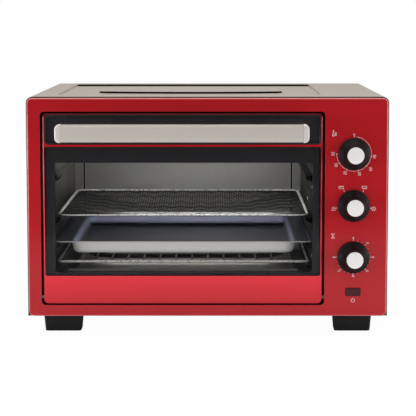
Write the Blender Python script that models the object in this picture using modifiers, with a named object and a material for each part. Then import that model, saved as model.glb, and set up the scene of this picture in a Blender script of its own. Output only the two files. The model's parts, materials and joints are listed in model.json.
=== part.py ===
"""Countertop air fryer oven, modelled as the separate pieces it comes apart into on a bench.

Metres, +Z up. X runs to the right for someone who faces the door, the front looks along -Y, and the
origin lies on the table under the middle of the oven. Depths are measured back from the fascia's face.
"""

import math

import bmesh
import bpy
from mathutils import Matrix, Vector

# Shared by every piece
sheet = 0.0008  # painted steel sheet
liner = 0.0006  # coated steel sheet of the cooking space
gap = 0.0003  # space between two pieces that touch
overrun = 0.002  # how far a cutter passes what it cuts
weld = 0.000001

# Body
body_width = 0.530
body_height = 0.3237
body_depth = 0.400
corner_radius = 0.009
panel_inset = 0.0012  # from the cover's outer face to the fascia's edge

# Feet
foot_width = 0.057
foot_depth = 0.030
foot_height = 0.025
foot_side = 0.022  # from the body's side
foot_setback = 0.012
foot_taper = 0.002
foot_radius = 0.004

# Fascia
rim_depth = 0.004
lip_depth = 0.012
rim_round = 0.0025
opening_side = 0.0205  # from the body's left side to the door opening
panel_width = 0.0932  # from the door opening to the body's right side
opening_rise = 0.0165  # from the body's underside to the door opening
opening_drop = 0.0213  # from the body's top to the door opening
opening_radius = 0.006
opening_flange = 0.0217

# Top of the cover: a shallow pressed recess with a raised panel in it
recess_drop = 0.0030
recess_left = 0.040
recess_right = 0.095
recess_front = 0.060
recess_back = 0.035
recess_radius = 0.012
island_side = 0.054
island_front = 0.092
island_back = 0.080
island_bow = 0.015  # how far the raised panel's front edge bows forward
island_radius = 0.012

# Vents
slot_width = 0.004
slot_pitch = 0.010
side_slot_height = 0.050
side_slots = 8
rear_slot_height = 0.030
rear_slots = 10
rear_slot_rise = 0.080
base_slot_length = 0.040
base_slots = 8

# Rear cover
rear_lip = 0.012
spacer_depth = 0.012
spacer_width = 0.060
spacer_height = 0.040
spacer_side = 0.085
spacer_drop = 0.060
spacer_radius = 0.006

# Cord gland in the rear cover
gland_bore = 0.0040
gland_neck = 0.0070
gland_collar = 0.0110
gland_collar_depth = 0.004
gland_tail = 0.009
gland_side = 0.045
gland_rise = 0.040

# Door
door_gap = 0.0022  # above and below
door_side_gap = 0.0037
door_skin = 0.016  # depth of the painted frame
door_round = 0.002
door_thickness = 0.018
side_band = 0.0024
lower_band = 0.0415
strip_height = 0.0031
recess_height = 0.0434
top_band = 0.0028
band_radius = 0.006
seat_overlap = 0.0013  # how far glass and recess panel reach behind the painted frame
glass_thickness = 0.004
window_left_side = 0.0138
window_right_side = 0.0113
window_rise = 0.0040
window_drop = 0.0239
window_radius = 0.004
recess_wall = 0.0015
inner_round = 0.002

# Handle
handle_reach = 0.038
handle_inset = 0.0218  # from the door's sides
handle_height = 0.0264
handle_thickness = 0.011
handle_radius = 0.0065
handle_crown = 0.003
handle_drop = 0.0026  # below the middle of its recess
handle_wall = 0.0012
cap_length = 0.008
post_width = 0.014
post_height = 0.018
cap_depth = 0.013
cap_round = 0.0012

# Door hinge
axis_depth = 0.008
axis_rise = 0.009
pin_radius = 0.0025
pin_end = 0.0015
hinge_steel = 0.002
hinge_width = 0.014
hinge_height = 0.032
bracket_half = 0.012

# Cooking space
landing_side = 0.0161
landing_bottom = 0.0242
landing_top = 0.0257
frame_overlap = 0.007
rear_space = 0.0535  # behind the liner, for the heaters' legs and the wiring
cavity_radius = 0.004
rack_level = 0.0322
pan_level = 0.0649
basket_level = 0.1028
spare_level = 0.165
ledge_reach = 0.010
ledge_height = 0.010
ledge_nose = 0.004
groove_width = 0.0022
groove_depth = 0.0005
groove_inset = 0.0155

# Perforated area in front of the fan
hole_radius = 0.0030
hole_pitch = 0.0105
perforated_radius = 0.058
hole_margin = 0.002

# Heating elements
element_radius = 0.0035
element_bend = 0.050
element_tail = 0.022
lower_inset = 0.0357
lower_height = 0.021
lower_setback = 0.143
upper_inset = 0.065
upper_drop = 0.016
upper_setback = 0.075
strip_half = 0.008
strip_end = 0.014

# Convection fan and its motor
fan_depth = 0.180
fan_lift = 0.013  # above the middle of the cooking space
fan_radius = 0.050
fan_height = 0.012
fan_hub = 0.009
blade_sheet = 0.001
cooling_radius = 0.032
cooling_height = 0.008
shaft_radius = 0.0025
housing_radius = 0.064
housing_depth = 0.020
housing_flange = 0.072
fan_clearance = 0.004
shield_gap = 0.006
shield_flange = 0.014
shield_drop = 0.0215
shield_margin = 0.006
shaft_hole = 0.006
motor_standoff = 0.0145
motor_length = 0.030
motor_width = 0.050
motor_height = 0.060
motor_round = 0.003
bracket_width = 0.024
bracket_inner = 0.036
bracket_outer = 0.046

# Controls
control_side = 0.051  # from the body's right side
temperature_drop = 0.0831  # from the body's top
timer_rise = 0.0882  # from the body's underside
knob_radius = 0.02335
knob_height = 0.0295
knob_lift = 0.0008
knob_crest = 0.0140
knob_cup = 0.019
knob_cup_depth = 0.004
knob_bore_depth = 0.018
cap_radius = 0.0121
cap_inset = 0.003
cap_crown = 0.0006
pointer_width = 0.0012
pointer_length = 0.005
spindle_radius = 0.003
spindle_flat = 0.001
spindle_seat = 0.008
panel_hole = 0.0042
bushing_radius = 0.0045
bushing_length = 0.012
control_web = 0.0160  # depth of the bracket's web behind the fascia's face
control_half = 0.026
control_end = 0.034
control_width = 0.036
control_depth = 0.028
control_round = 0.003
timer_radius = 0.021
switch_step = 0.006

# Indicator lens
lens_width = 0.022
lens_height = 0.012
lens_rise = 0.0363
lens_proud = 0.0008
lens_flange = 0.0020
lens_radius = 0.002

# Loose pieces
shelf_setback = 0.012  # from the shut door's inner face
rim_side_gap = 0.00375
rim_back_gap = 0.0155
rim_radius = 0.00225
rim_corner = 0.018
mesh_wire = 0.0010
mesh_depth = 0.012
mesh_slope = 0.020
mesh_across = 17
mesh_along = 12
pan_side_gap = 0.002
pan_back_gap = 0.0165
pan_corner = 0.006
pan_depth = 0.0185
pan_sheet = 0.0008
pan_side_flange = 0.0225
pan_end_flange = 0.005
pan_body_corner = 0.015
pan_draft = 0.003
pan_foot_round = 0.006
rack_side_gap = 0.0040
rack_back_gap = 0.0165
rack_wire = 0.0025
rack_corner = 0.007
rod_radius = 0.0015
rod_pitch = 0.0241
rod_count = 14
crossbar_radius = 0.002
crossbar_drop = 0.003
tray_side_gap = 0.0215
tray_back_gap = 0.0155
tray_side = 0.006
tray_lip = 0.0255
tray_front = 0.008

# Worked out from the sizes above
half_width = body_width / 2
body_bottom = foot_height
body_top = body_bottom + body_height
front_y = handle_reach - (handle_reach + body_depth + spacer_depth) / 2
back_y = front_y + body_depth
cover_inside = sheet + gap  # what fits inside the cover stays this far from its outside
lip_inset = panel_inset + gap
opening_left = opening_side - half_width
opening_right = half_width - panel_width
opening_bottom = body_bottom + opening_rise
opening_top = body_top - opening_drop
door_left = opening_left + door_side_gap
door_right = opening_right - door_side_gap
door_bottom = opening_bottom + door_gap
door_top = opening_top - door_gap
door_middle = (door_left + door_right) / 2
axis_y = front_y + axis_depth
axis_z = door_bottom + axis_rise
glass_left = door_left + side_band
glass_right = door_right - side_band
recess_high = door_top - top_band
recess_low = recess_high - recess_height
glass_bottom = door_bottom + lower_band
glass_top = recess_low - strip_height
window_left = glass_left + window_left_side
window_right = glass_right - window_right_side
window_bottom = glass_bottom + window_rise
window_top = glass_top - window_drop
inner_side = sheet + gap + hinge_steel + gap
seat_y = front_y + sheet + gap
retainer_y = seat_y + glass_thickness + gap
inner_y = retainer_y + sheet + gap
recess_floor_y = inner_y - gap - recess_wall
handle_z = (recess_low + recess_high) / 2 - handle_drop
cavity_left = opening_left + landing_side
cavity_right = opening_right - landing_side
cavity_bottom = opening_bottom + landing_bottom
cavity_top = opening_top - landing_top
cavity_middle = (cavity_left + cavity_right) / 2
frame_y = front_y + opening_flange + gap
liner_front = frame_y + liner + gap
liner_back = back_y - rear_space
shelf_y = front_y + door_thickness + shelf_setback
tray_y = front_y + door_thickness + tray_front
rim_width = cavity_right - cavity_left - 2 * rim_side_gap
rim_length = liner_back - rim_back_gap - shelf_y
pan_width = cavity_right - cavity_left - 2 * pan_side_gap
pan_length = liner_back - pan_back_gap - shelf_y
rack_width = cavity_right - cavity_left - 2 * rack_side_gap
rack_length = liner_back - rack_back_gap - shelf_y
tray_width = cavity_right - cavity_left - 2 * tray_side_gap
tray_length = liner_back - tray_back_gap - tray_y
control_x = half_width - control_side
temperature_z = body_top - temperature_drop
timer_z = body_bottom + timer_rise
function_z = (temperature_z + timer_z) / 2
fan_y = front_y + fan_depth
fan_z = (cavity_bottom + cavity_top) / 2 + fan_lift
wall_outside = cavity_right + liner
housing_x = wall_outside + gap
shield_x = housing_x + housing_depth + shield_gap
motor_x = shield_x + liner + gap + motor_standoff


def clear_scene():
    for old in list(bpy.data.objects):
        bpy.data.objects.remove(old, do_unlink=True)


def new_collection(name, helper=False):
    made = bpy.data.collections.new(name)
    bpy.context.scene.collection.children.link(made)
    made.hide_render = helper
    return made


clear_scene()
oven = new_collection("air_fryer_oven")
helpers = new_collection("cutters", helper=True)


def finish(name, hex_colour, roughness, metallic=0.0, alpha=1.0):
    """A Principled material from an sRGB colour."""
    parts = [int(hex_colour[i : i + 2], 16) / 255 for i in (0, 2, 4)]
    linear = [c / 12.92 if c <= 0.04045 else ((c + 0.055) / 1.055) ** 2.4 for c in parts]
    made = bpy.data.materials.new(name)
    made.use_nodes = True
    shader = made.node_tree.nodes["Principled BSDF"]
    shader.inputs["Base Color"].default_value = (*linear, 1)
    shader.inputs["Roughness"].default_value = roughness
    shader.inputs["Metallic"].default_value = metallic
    shader.inputs["Alpha"].default_value = alpha
    made.diffuse_color = (*linear, alpha)
    return made


red_paint = finish("red_paint", "A82028", 0.25)
warm_grey_paint = finish("warm_grey_paint", "C0B6AA", 0.45, 0.4)
galvanised = finish("galvanised_steel", "9A9B99", 0.45, 0.9)
liner_steel = finish("aluminised_steel", "8C8B89", 0.4, 0.9)
chrome = finish("chrome_wire", "D8D8D6", 0.12, 1.0)
satin_steel = finish("satin_steel", "C9C1BA", 0.3, 1.0)
black_plastic = finish("black_plastic", "1B191C", 0.45)
black_enamel = finish("black_enamel", "202226", 0.3)
glass = finish("glass", "DDE4E4", 0.05, 0.0, 0.25)
nonstick = finish("nonstick_coating", "3A3E49", 0.35)
element_black = finish("element_sheath", "2A2A2B", 0.55, 0.5)
lens_red = finish("lens_red", "5A2024", 0.25)
motor_steel = finish("motor_steel", "6C6E70", 0.5, 0.7)


def rounded(u0, u1, v0, v1, radius, steps=4):
    """Points round a rectangle with arcs in its corners, anticlockwise. A radius of 0 leaves it square."""
    if not radius:
        return [(u0, v0), (u1, v0), (u1, v1), (u0, v1)]
    centres = [
        (u1 - radius, v0 + radius),
        (u1 - radius, v1 - radius),
        (u0 + radius, v1 - radius),
        (u0 + radius, v0 + radius),
    ]
    points = []
    for quarter, (u, v) in enumerate(centres):
        for step in range(steps + 1):
            angle = math.radians(90 * (quarter - 1 + step / steps))
            points.append((u + radius * math.cos(angle), v + radius * math.sin(angle)))
    return points


def circle(u, v, radius, steps=16):
    """Points round a circle, anticlockwise."""
    turns = [2 * math.pi * step / steps for step in range(steps)]
    return [(u + radius * math.cos(turn), v + radius * math.sin(turn)) for turn in turns]


def as_mesh(obj):
    """Replaces a curve or a modified object by its plain mesh, welded, with its faces pointing out."""
    bpy.context.view_layer.update()
    graph = bpy.context.evaluated_depsgraph_get()
    mesh = bpy.data.meshes.new_from_object(obj.evaluated_get(graph))
    work = bmesh.new()
    work.from_mesh(mesh)
    bmesh.ops.remove_doubles(work, verts=work.verts, dist=weld)
    bmesh.ops.dissolve_limit(work, angle_limit=math.radians(0.1), verts=work.verts, edges=work.edges)
    bmesh.ops.recalc_face_normals(work, faces=work.faces)
    work.to_mesh(mesh)
    work.free()
    name = obj.name
    place = obj.matrix_basis.copy()
    bpy.data.objects.remove(obj, do_unlink=True)
    made = bpy.data.objects.new(name, mesh)
    made.matrix_basis = place
    helpers.objects.link(made)
    return made


def from_work(name, work, place):
    """An object at a place from a bmesh built round its own origin."""
    bmesh.ops.recalc_face_normals(work, faces=work.faces)
    mesh = bpy.data.meshes.new(name)
    work.to_mesh(mesh)
    work.free()
    made = bpy.data.objects.new(name, mesh)
    made.matrix_basis = place
    helpers.objects.link(made)
    return made


def block(name, low, high):
    """A box between two corners, with its origin at its middle."""
    work = bmesh.new()
    bmesh.ops.create_cube(work, size=1)
    bmesh.ops.scale(work, vec=[b - a for a, b in zip(low, high)], verts=work.verts)
    middle = [(a + b) / 2 for a, b in zip(low, high)]
    return from_work(name, work, Matrix.Translation(middle))


front_turn = Matrix.Rotation(math.pi / 2, 4, "X")  # lays a flat shape upright, facing the front
side_turn = Matrix.Rotation(math.pi / 2, 4, "Z") @ front_turn
level_turn = Matrix.Identity(4)


def plate(name, loops, low, high, turn=front_turn):
    """A flat plate from one depth to another: the first loop is its edge, and the others are holes in it."""
    us = [u for u, v in loops[0]]
    vs = [v for u, v in loops[0]]
    u_middle = (min(us) + max(us)) / 2
    v_middle = (min(vs) + max(vs)) / 2
    depth = (low + high) / 2
    if turn is front_turn:
        middle = (u_middle, depth, v_middle)
    elif turn is side_turn:
        middle = (depth, u_middle, v_middle)
    else:
        middle = (u_middle, v_middle, depth)
    curve = bpy.data.curves.new(name, "CURVE")
    curve.dimensions = "2D"
    curve.fill_mode = "BOTH"
    curve.extrude = (high - low) / 2
    for loop in loops:
        spline = curve.splines.new("POLY")
        spline.points.add(len(loop) - 1)
        for point, (u, v) in zip(spline.points, loop):
            point.co = (u - u_middle, v - v_middle, 0, 1)
        spline.use_cyclic_u = True
    made = bpy.data.objects.new(name, curve)
    made.matrix_basis = Matrix.Translation(middle) @ turn
    helpers.objects.link(made)
    return as_mesh(made)


def wire(name, points, radius, closed=False, roundness=2):
    """A round wire along points, with flat ends."""
    curve = bpy.data.curves.new(name, "CURVE")
    curve.dimensions = "3D"
    curve.bevel_depth = radius
    curve.bevel_resolution = roundness
    curve.use_fill_caps = True
    start = Vector(points[0])
    spline = curve.splines.new("POLY")
    spline.points.add(len(points) - 1)
    for point, place in zip(spline.points, points):
        point.co = (*(Vector(place) - start), 1)
    spline.use_cyclic_u = closed
    made = bpy.data.objects.new(name, curve)
    made.matrix_basis = Matrix.Translation(start)
    helpers.objects.link(made)
    return as_mesh(made)


def rod(name, start, end, radius, sides=16):
    """A cylinder from one point to another along X or Y, with its origin at the start."""
    along = Vector(end) - Vector(start)
    work = bmesh.new()
    bmesh.ops.create_cone(work, cap_ends=True, segments=sides, radius1=radius, radius2=radius, depth=along.length)
    bmesh.ops.translate(work, vec=(0, 0, along.length / 2), verts=work.verts)
    turn = along.to_track_quat("Z", "Y").to_matrix().to_4x4()
    return from_work(name, work, Matrix.Translation(start) @ turn)


def turned(name, profile, place, steps=20, bored=False):
    """A profile of (radius, height) points, from the top down its outer side, carried round the local Z axis."""
    mesh = bpy.data.meshes.new(name)
    edges = [(i, i + 1) for i in range(len(profile) - 1)]
    if bored:
        edges.append((len(profile) - 1, 0))
    mesh.from_pydata([(radius, 0, height) for radius, height in profile], edges, [])
    made = bpy.data.objects.new(name, mesh)
    made.matrix_basis = place
    helpers.objects.link(made)
    screw = made.modifiers.new("turning", "SCREW")
    screw.steps = steps
    screw.render_steps = steps
    screw.use_merge_vertices = True
    screw.merge_threshold = weld
    return as_mesh(made)


def loft(name, rings, place):
    """A skin through rings of points, each with as many points as the next, closed at its last ring."""
    work = bmesh.new()
    rows = [[work.verts.new(point) for point in ring] for ring in rings]
    for row, following in zip(rows, rows[1:]):
        for i, corner in enumerate(row):
            j = (i + 1) % len(row)
            work.faces.new((corner, row[j], following[j], following[i]))
    work.faces.new(rows[-1])
    return work if place is None else from_work(name, work, place)


def gather(name, pieces):
    """One helper object from several that don't meet."""
    work = bmesh.new()
    for piece in pieces:
        start = len(work.verts)
        work.from_mesh(piece.data)
        work.verts.ensure_lookup_table()
        bmesh.ops.transform(work, matrix=piece.matrix_basis, verts=work.verts[start:])
        bpy.data.objects.remove(piece, do_unlink=True)
    mesh = bpy.data.meshes.new(name)
    work.to_mesh(mesh)
    work.free()
    made = bpy.data.objects.new(name, mesh)
    helpers.objects.link(made)
    return made


def change(piece, tool, operation):
    """Adds a Boolean with a helper, which then follows the piece."""
    tool.parent = piece
    tool.matrix_parent_inverse = piece.matrix_basis.inverted()
    tool.hide_render = True
    tool.display_type = "WIRE"
    boolean = piece.modifiers.new(operation.lower(), "BOOLEAN")
    boolean.operation = operation
    boolean.object = tool


def cut(piece, *tools):
    for tool in tools:
        change(piece, tool, "DIFFERENCE")


def join(piece, *others):
    for other in others:
        change(piece, other, "UNION")


def round_edges(piece, width, segments=2, chosen=None):
    """Rounds every sharp edge, or only those whose two ends pass a test on their local place."""
    bevel = piece.modifiers.new("rounding", "BEVEL")
    bevel.width = width
    bevel.segments = segments
    bevel.limit_method = "ANGLE"
    if chosen is None:
        return
    bevel.limit_method = "WEIGHT"
    work = bmesh.new()
    work.from_mesh(piece.data)
    weights = work.edges.layers.float.new("bevel_weight_edge")
    for edge in work.edges:
        sharp = edge.is_manifold and edge.calc_face_angle() > math.radians(30)
        if sharp and all(chosen(corner.co) for corner in edge.verts):
            edge[weights] = 1
    work.to_mesh(piece.data)
    work.free()


def place_piece(piece, look, parent=None):
    """Puts a finished piece in the oven's collection, on the empty that it moves with, if any."""
    for holder in list(piece.users_collection):
        holder.objects.unlink(piece)
    oven.objects.link(piece)
    piece.data.materials.clear()
    piece.data.materials.append(look)
    piece.data.shade_smooth()
    piece.data.set_sharp_from_angle(angle=math.radians(35))
    if parent:
        piece.parent = parent
        piece.location = piece.location - parent.location
    return piece


def mover(name, place):
    """An empty on a joint's axis, or at the front of a sliding piece, that its pieces move with."""
    empty = bpy.data.objects.new(name, None)
    empty.location = place
    empty.empty_display_size = foot_width
    oven.objects.link(empty)
    return empty


door_mover = mover("door_axis", (door_middle, axis_y, axis_z))
fan_mover = mover("fan_axis", (housing_x, fan_y, fan_z))


def build_feet():
    """Four moulded blocks, a little narrower at the table."""
    rows = {"front": front_y + foot_setback, "rear": back_y - foot_setback - foot_depth}
    sides = {"left": foot_side - half_width, "right": half_width - foot_side - foot_width}
    top = body_bottom - gap
    for row, y in rows.items():
        for side, x in sides.items():
            low = rounded(foot_taper, foot_width - foot_taper, foot_taper, foot_depth - foot_taper, foot_radius, 2)
            high = rounded(0, foot_width, 0, foot_depth, foot_radius, 2)
            rings = [[(u, v, 0) for u, v in low], [(u, v, top) for u, v in high]]
            work = loft("foot", rings, None)
            work.faces.new([corner for corner in list(work.verts)[: len(low)]])
            foot = from_work(f"foot_{row}_{side}", work, Matrix.Translation((x, y, 0)))
            place_piece(foot, black_plastic)


def opening_outline(grow, radius=opening_radius):
    return rounded(
        opening_left - grow, opening_right + grow, opening_bottom - grow, opening_top + grow, radius + grow
    )


def body_outline(inset):
    edge = half_width - inset
    return rounded(-edge, edge, body_bottom + inset, body_top - inset, corner_radius - inset)


def panel_outline():
    edge = half_width - panel_inset
    return rounded(-edge, edge, body_bottom, body_top - panel_inset, corner_radius - panel_inset)


def build_front_panel():
    """The pressed fascia: a face with a rolled rim, a lip that slips into the cover and a flanged door opening."""
    rim_back = front_y + rim_depth
    lip_back = rim_back + lip_depth
    flange_back = front_y + opening_flange
    panel = plate("front_panel", [panel_outline()], front_y, rim_back)
    round_edges(panel, rim_round, 3, lambda at: at.z > 0)
    join(panel, plate("lip", [body_outline(lip_inset)], rim_back - sheet, lip_back))
    cut(panel, plate("hollow", [body_outline(lip_inset + sheet)], front_y + sheet, lip_back + overrun))
    join(panel, plate("flange", [opening_outline(sheet)], front_y + sheet / 2, flange_back))
    cut(panel, plate("opening", [opening_outline(0)], front_y - overrun, flange_back + overrun))
    holes = [
        rod("shaft_hole", (control_x, front_y - overrun, z), (control_x, front_y + sheet + overrun, z), panel_hole)
        for z in (temperature_z, function_z, timer_z)
    ]
    lens_hole = plate("lens_hole", [lens_outline(gap)], front_y - overrun, front_y + sheet + overrun)
    pin_holes = [
        rod("pin_hole", (x - sheet, axis_y, axis_z), (x + sheet, axis_y, axis_z), pin_radius + gap, 12)
        for x in (opening_left - sheet / 2, opening_right + sheet / 2)
    ]
    cut(panel, gather("panel_holes", [*holes, lens_hole, *pin_holes]))
    place_piece(panel, red_paint)


def cover_solid(name, inset):
    """The space inside the cover's outer face, moved in by an inset: its outside, or what is taken out of it."""
    edge = half_width - inset
    spare = overrun if inset else 0
    outline = rounded(-edge, edge, body_bottom - 2 * corner_radius, body_top - inset, corner_radius - inset)
    start = front_y + rim_depth + gap
    solid = plate(name, [outline], start - spare, back_y + spare)
    recess = rounded(
        recess_left - half_width - inset,
        half_width - recess_right + inset,
        front_y + recess_front - inset,
        back_y - recess_back + inset,
        recess_radius + inset,
    )
    left = recess_left + island_side - half_width + inset
    right = half_width - recess_right - island_side - inset
    near = front_y + recess_front + island_front + inset
    far = back_y - recess_back - island_back - inset
    corners = rounded(left, right, near, far, island_radius - inset, 3)
    edge = [(left + (right - left) * share, near) for share in bow_shares]
    island = []
    for x, y in [*corners, *edge]:
        share = (x - left) / (right - left)
        bow = island_bow * 4 * share * (1 - share) if y < (near + far) / 2 else 0
        island.append((x, y - bow))
    floor = body_top - recess_drop - inset
    cut(solid, plate("recess", [recess, island], floor, body_top + overrun, level_turn))
    return solid


bow_shares = [step / 8 for step in range(1, 8)]


def vent(name, centre, size, count, step):
    """A row of slots as cutters: a centre, one slot's size and the step from slot to slot."""
    slots = []
    for i in range(count):
        middle = Vector(centre) + Vector(step) * (i - (count - 1) / 2)
        slots.append(block("slot", middle - Vector(size) / 2, middle + Vector(size) / 2))
    return gather(name, slots)


def build_outer_cover():
    """The wrap-around cover with its shallow pressed top, and vents beside the motor."""
    cover = cover_solid("outer_cover", 0)
    cut(cover, cover_solid("cover_inside", sheet))
    below = (-body_width, front_y - overrun, body_bottom - body_height)
    cut(cover, block("below", below, (body_width, back_y + overrun, body_bottom)))
    size = (2 * overrun + sheet, slot_width, side_slot_height)
    place = (half_width - sheet / 2, fan_y, fan_z)
    cut(cover, vent("side_vent", place, size, side_slots, (0, slot_pitch, 0)))
    place_piece(cover, warm_grey_paint)


def build_rear_cover():
    """The back sheet: a shallow tray inside the cover, with pressed spacers, a vent row and the cord's hole."""
    lip_y = back_y - rear_lip
    cover = plate("rear_cover", [body_outline(cover_inside)], lip_y, back_y)
    z = body_top - spacer_drop
    for side in (-1, 1):
        x = side * (half_width - spacer_side)
        outline = [x - spacer_width / 2, x + spacer_width / 2, z - spacer_height / 2, z + spacer_height / 2]
        join(cover, plate("spacer", [rounded(*outline, spacer_radius, 3)], back_y - sheet, back_y + spacer_depth))
    cut(cover, plate("hollow", [body_outline(cover_inside + sheet)], lip_y - overrun, back_y - sheet))
    for side in (-1, 1):
        x = side * (half_width - spacer_side)
        wide = spacer_width / 2 - sheet
        tall = spacer_height / 2 - sheet
        outline = rounded(x - wide, x + wide, z - tall, z + tall, spacer_radius - sheet, 3)
        cut(cover, plate("spacer_inside", [outline], back_y - sheet - overrun, back_y + spacer_depth - sheet))
    size = (slot_width, 2 * overrun + sheet, rear_slot_height)
    place = (0, back_y - sheet / 2, body_bottom + rear_slot_rise)
    cut(cover, vent("rear_vent", place, size, rear_slots, (2 * slot_pitch, 0, 0)))
    at = (gland_side - half_width, back_y, body_bottom + gland_rise)
    start = Vector(at) - Vector((0, sheet + overrun, 0))
    cut(cover, rod("gland_hole", start, Vector(at) + Vector((0, overrun, 0)), gland_neck + gap, 12))
    place_piece(cover, warm_grey_paint)
    profile = [
        (gland_bore, gland_collar_depth),
        (gland_collar - sheet, gland_collar_depth),
        (gland_collar, gap),
        (gland_neck, gap),
        (gland_neck, -sheet - gap),
        (gland_collar - sheet, -sheet - gap),
        (gland_neck, -gland_tail),
        (gland_bore, -gland_tail),
    ]
    backward = Matrix.Rotation(-math.pi / 2, 4, "X")
    gland = turned("cord_gland", profile, Matrix.Translation(at) @ backward, 12, bored=True)
    place_piece(gland, black_plastic)


def build_base_plate():
    """The bottom sheet with turned-up sides and two vent rows."""
    edge = half_width - cover_inside
    start = front_y + rim_depth + gap
    top = body_bottom + sheet
    base = block("base_plate", (-edge, start, body_bottom), (edge, back_y, top))
    flange_start = front_y + rim_depth + lip_depth + gap
    flange_end = back_y - rear_lip - gap
    for side in (-1, 1):
        xs = sorted((side * edge, side * (edge - sheet)))
        low = (xs[0], flange_start, body_bottom + sheet / 2)
        join(base, block("side", low, (xs[1], flange_end, top + rear_lip)))
    size = (slot_width, base_slot_length, 2 * overrun + sheet)
    for y in (front_y + body_depth / 3, front_y + body_depth * 2 / 3):
        place = (cavity_middle, y, body_bottom + sheet / 2)
        cut(base, vent("base_vent", place, size, base_slots, (3 * slot_pitch, 0, 0)))
    place_piece(base, galvanised)


def build_cavity():
    """The cooking space: a frame that the door closes on, and five liner sheets behind it."""
    mouth = rounded(cavity_left, cavity_right, cavity_bottom, cavity_top, cavity_radius)
    frame = plate("cavity_front_frame", [opening_outline(frame_overlap), mouth], frame_y, frame_y + liner)
    place_piece(frame, liner_steel)
    left = cavity_left - liner
    right = cavity_right + liner
    end = liner_back - gap
    top = block("cavity_top", (left, liner_front, cavity_top), (right, end, cavity_top + liner))
    place_piece(top, liner_steel)
    floor = block("cavity_floor", (left, liner_front, cavity_bottom - liner), (right, end, cavity_bottom))
    place_piece(floor, liner_steel)
    low = (left, liner_back, cavity_bottom - liner)
    back = block("cavity_back_wall", low, (right, liner_back + liner, cavity_top + liner))
    grooves = []
    for x in (cavity_left + groove_inset, cavity_right - groove_inset):
        low = (x - groove_width / 2, liner_back - overrun, cavity_bottom)
        grooves.append(block("groove", low, (x + groove_width / 2, liner_back + groove_depth, cavity_top)))
    legs = [
        rod("leg_hole", (x, liner_back - overrun, z), (x, liner_back + liner + overrun, z), element_radius + gap, 12)
        for x, z in (*element_legs(lower_inset, lower_z), *element_legs(upper_inset, upper_z))
    ]
    cut(back, gather("grooves", grooves), gather("leg_holes", legs))
    place_piece(back, liner_steel)
    place_piece(side_wall("cavity_left_wall", cavity_left, 1), liner_steel)
    wall = side_wall("cavity_right_wall", cavity_right, -1)
    cut(wall, perforations())
    place_piece(wall, liner_steel)


def element_legs(inset, z):
    return [(cavity_left + inset, z), (cavity_right - inset, z)]


lower_z = cavity_bottom + lower_height
upper_z = cavity_top - upper_drop


def side_wall(name, x, inward):
    """A liner side: one strip with four pressed ledges, carried front to back and given its thickness outwards."""
    profile = [(0, cavity_bottom + gap)]
    for level in (rack_level, pan_level, basket_level, spare_level):
        top = cavity_bottom + level
        profile += [(0, top - ledge_height), (ledge_reach, top - ledge_nose), (ledge_reach, top), (0, top)]
    profile.append((0, cavity_top - gap))
    work = bmesh.new()
    rows = []
    for y in (liner_front, liner_back - gap):
        rows.append([work.verts.new((inward * reach, y - fan_y, z - cavity_bottom)) for reach, z in profile])
    for i in range(len(profile) - 1):
        work.faces.new((rows[0][i], rows[0][i + 1], rows[1][i + 1], rows[1][i]))
    mesh = bpy.data.meshes.new(name)
    work.to_mesh(mesh)
    work.free()
    wall = bpy.data.objects.new(name, mesh)
    wall.matrix_basis = Matrix.Translation((x, fan_y, cavity_bottom))
    helpers.objects.link(wall)
    thickness = wall.modifiers.new("thickness", "SOLIDIFY")
    thickness.thickness = liner
    thickness.offset = inward
    thickness.use_even_offset = True
    return as_mesh(wall)


def perforations():
    """Six-sided holes in a round area before the fan, in the flat bands between the ledges."""
    ledges = [cavity_bottom + level for level in (rack_level, pan_level, basket_level, spare_level)]
    reach = math.floor(perforated_radius / hole_pitch)
    holes = []
    for row in range(-reach, reach + 1):
        z = fan_z + row * hole_pitch
        keep = hole_radius + hole_margin
        if any(top - ledge_height - keep < z < top + keep for top in ledges):
            continue
        for column in range(-reach, reach + 1):
            y = fan_y + (column + 0.5 * (row % 2)) * hole_pitch
            if math.hypot(y - fan_y, z - fan_z) < perforated_radius:
                start = (cavity_right - overrun, y, z)
                holes.append(rod("hole", start, (wall_outside + overrun, y, z), hole_radius, 6))
    return gather("perforations", holes)


def bend(corner, before, after, radius, steps=6):
    """Points of an arc that rounds a square corner between two directions."""
    corner, before, after = Vector(corner), Vector(before), Vector(after)
    centre = corner - before * radius + after * radius
    turns = [math.pi / 2 * step / steps for step in range(steps + 1)]
    return [centre - after * radius * math.cos(turn) + before * radius * math.sin(turn) for turn in turns]


def build_element(name, inset, z, setback):
    """A tubular heater bent to a U, with both legs through the back wall, and the strip that holds them there."""
    (left, _), (right, _) = element_legs(inset, z)
    tail = liner_back + element_tail
    run = liner_front + setback
    points = [
        (left, tail, z),
        *bend((left, run, z), (0, -1, 0), (1, 0, 0), element_bend),
        *bend((right, run, z), (1, 0, 0), (0, 1, 0), element_bend),
        (right, tail, z),
    ]
    place_piece(wire(f"{name}_heating_element", points, element_radius), element_black)
    outline = rounded(left - strip_end, right + strip_end, z - strip_half, z + strip_half, strip_half / 2, 2)
    loops = [outline, *(circle(x, z, element_radius + gap, 12) for x in (left, right))]
    start = liner_back + liner + gap
    place_piece(plate(f"{name}_element_bracket", loops, start, start + liner), galvanised)


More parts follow.
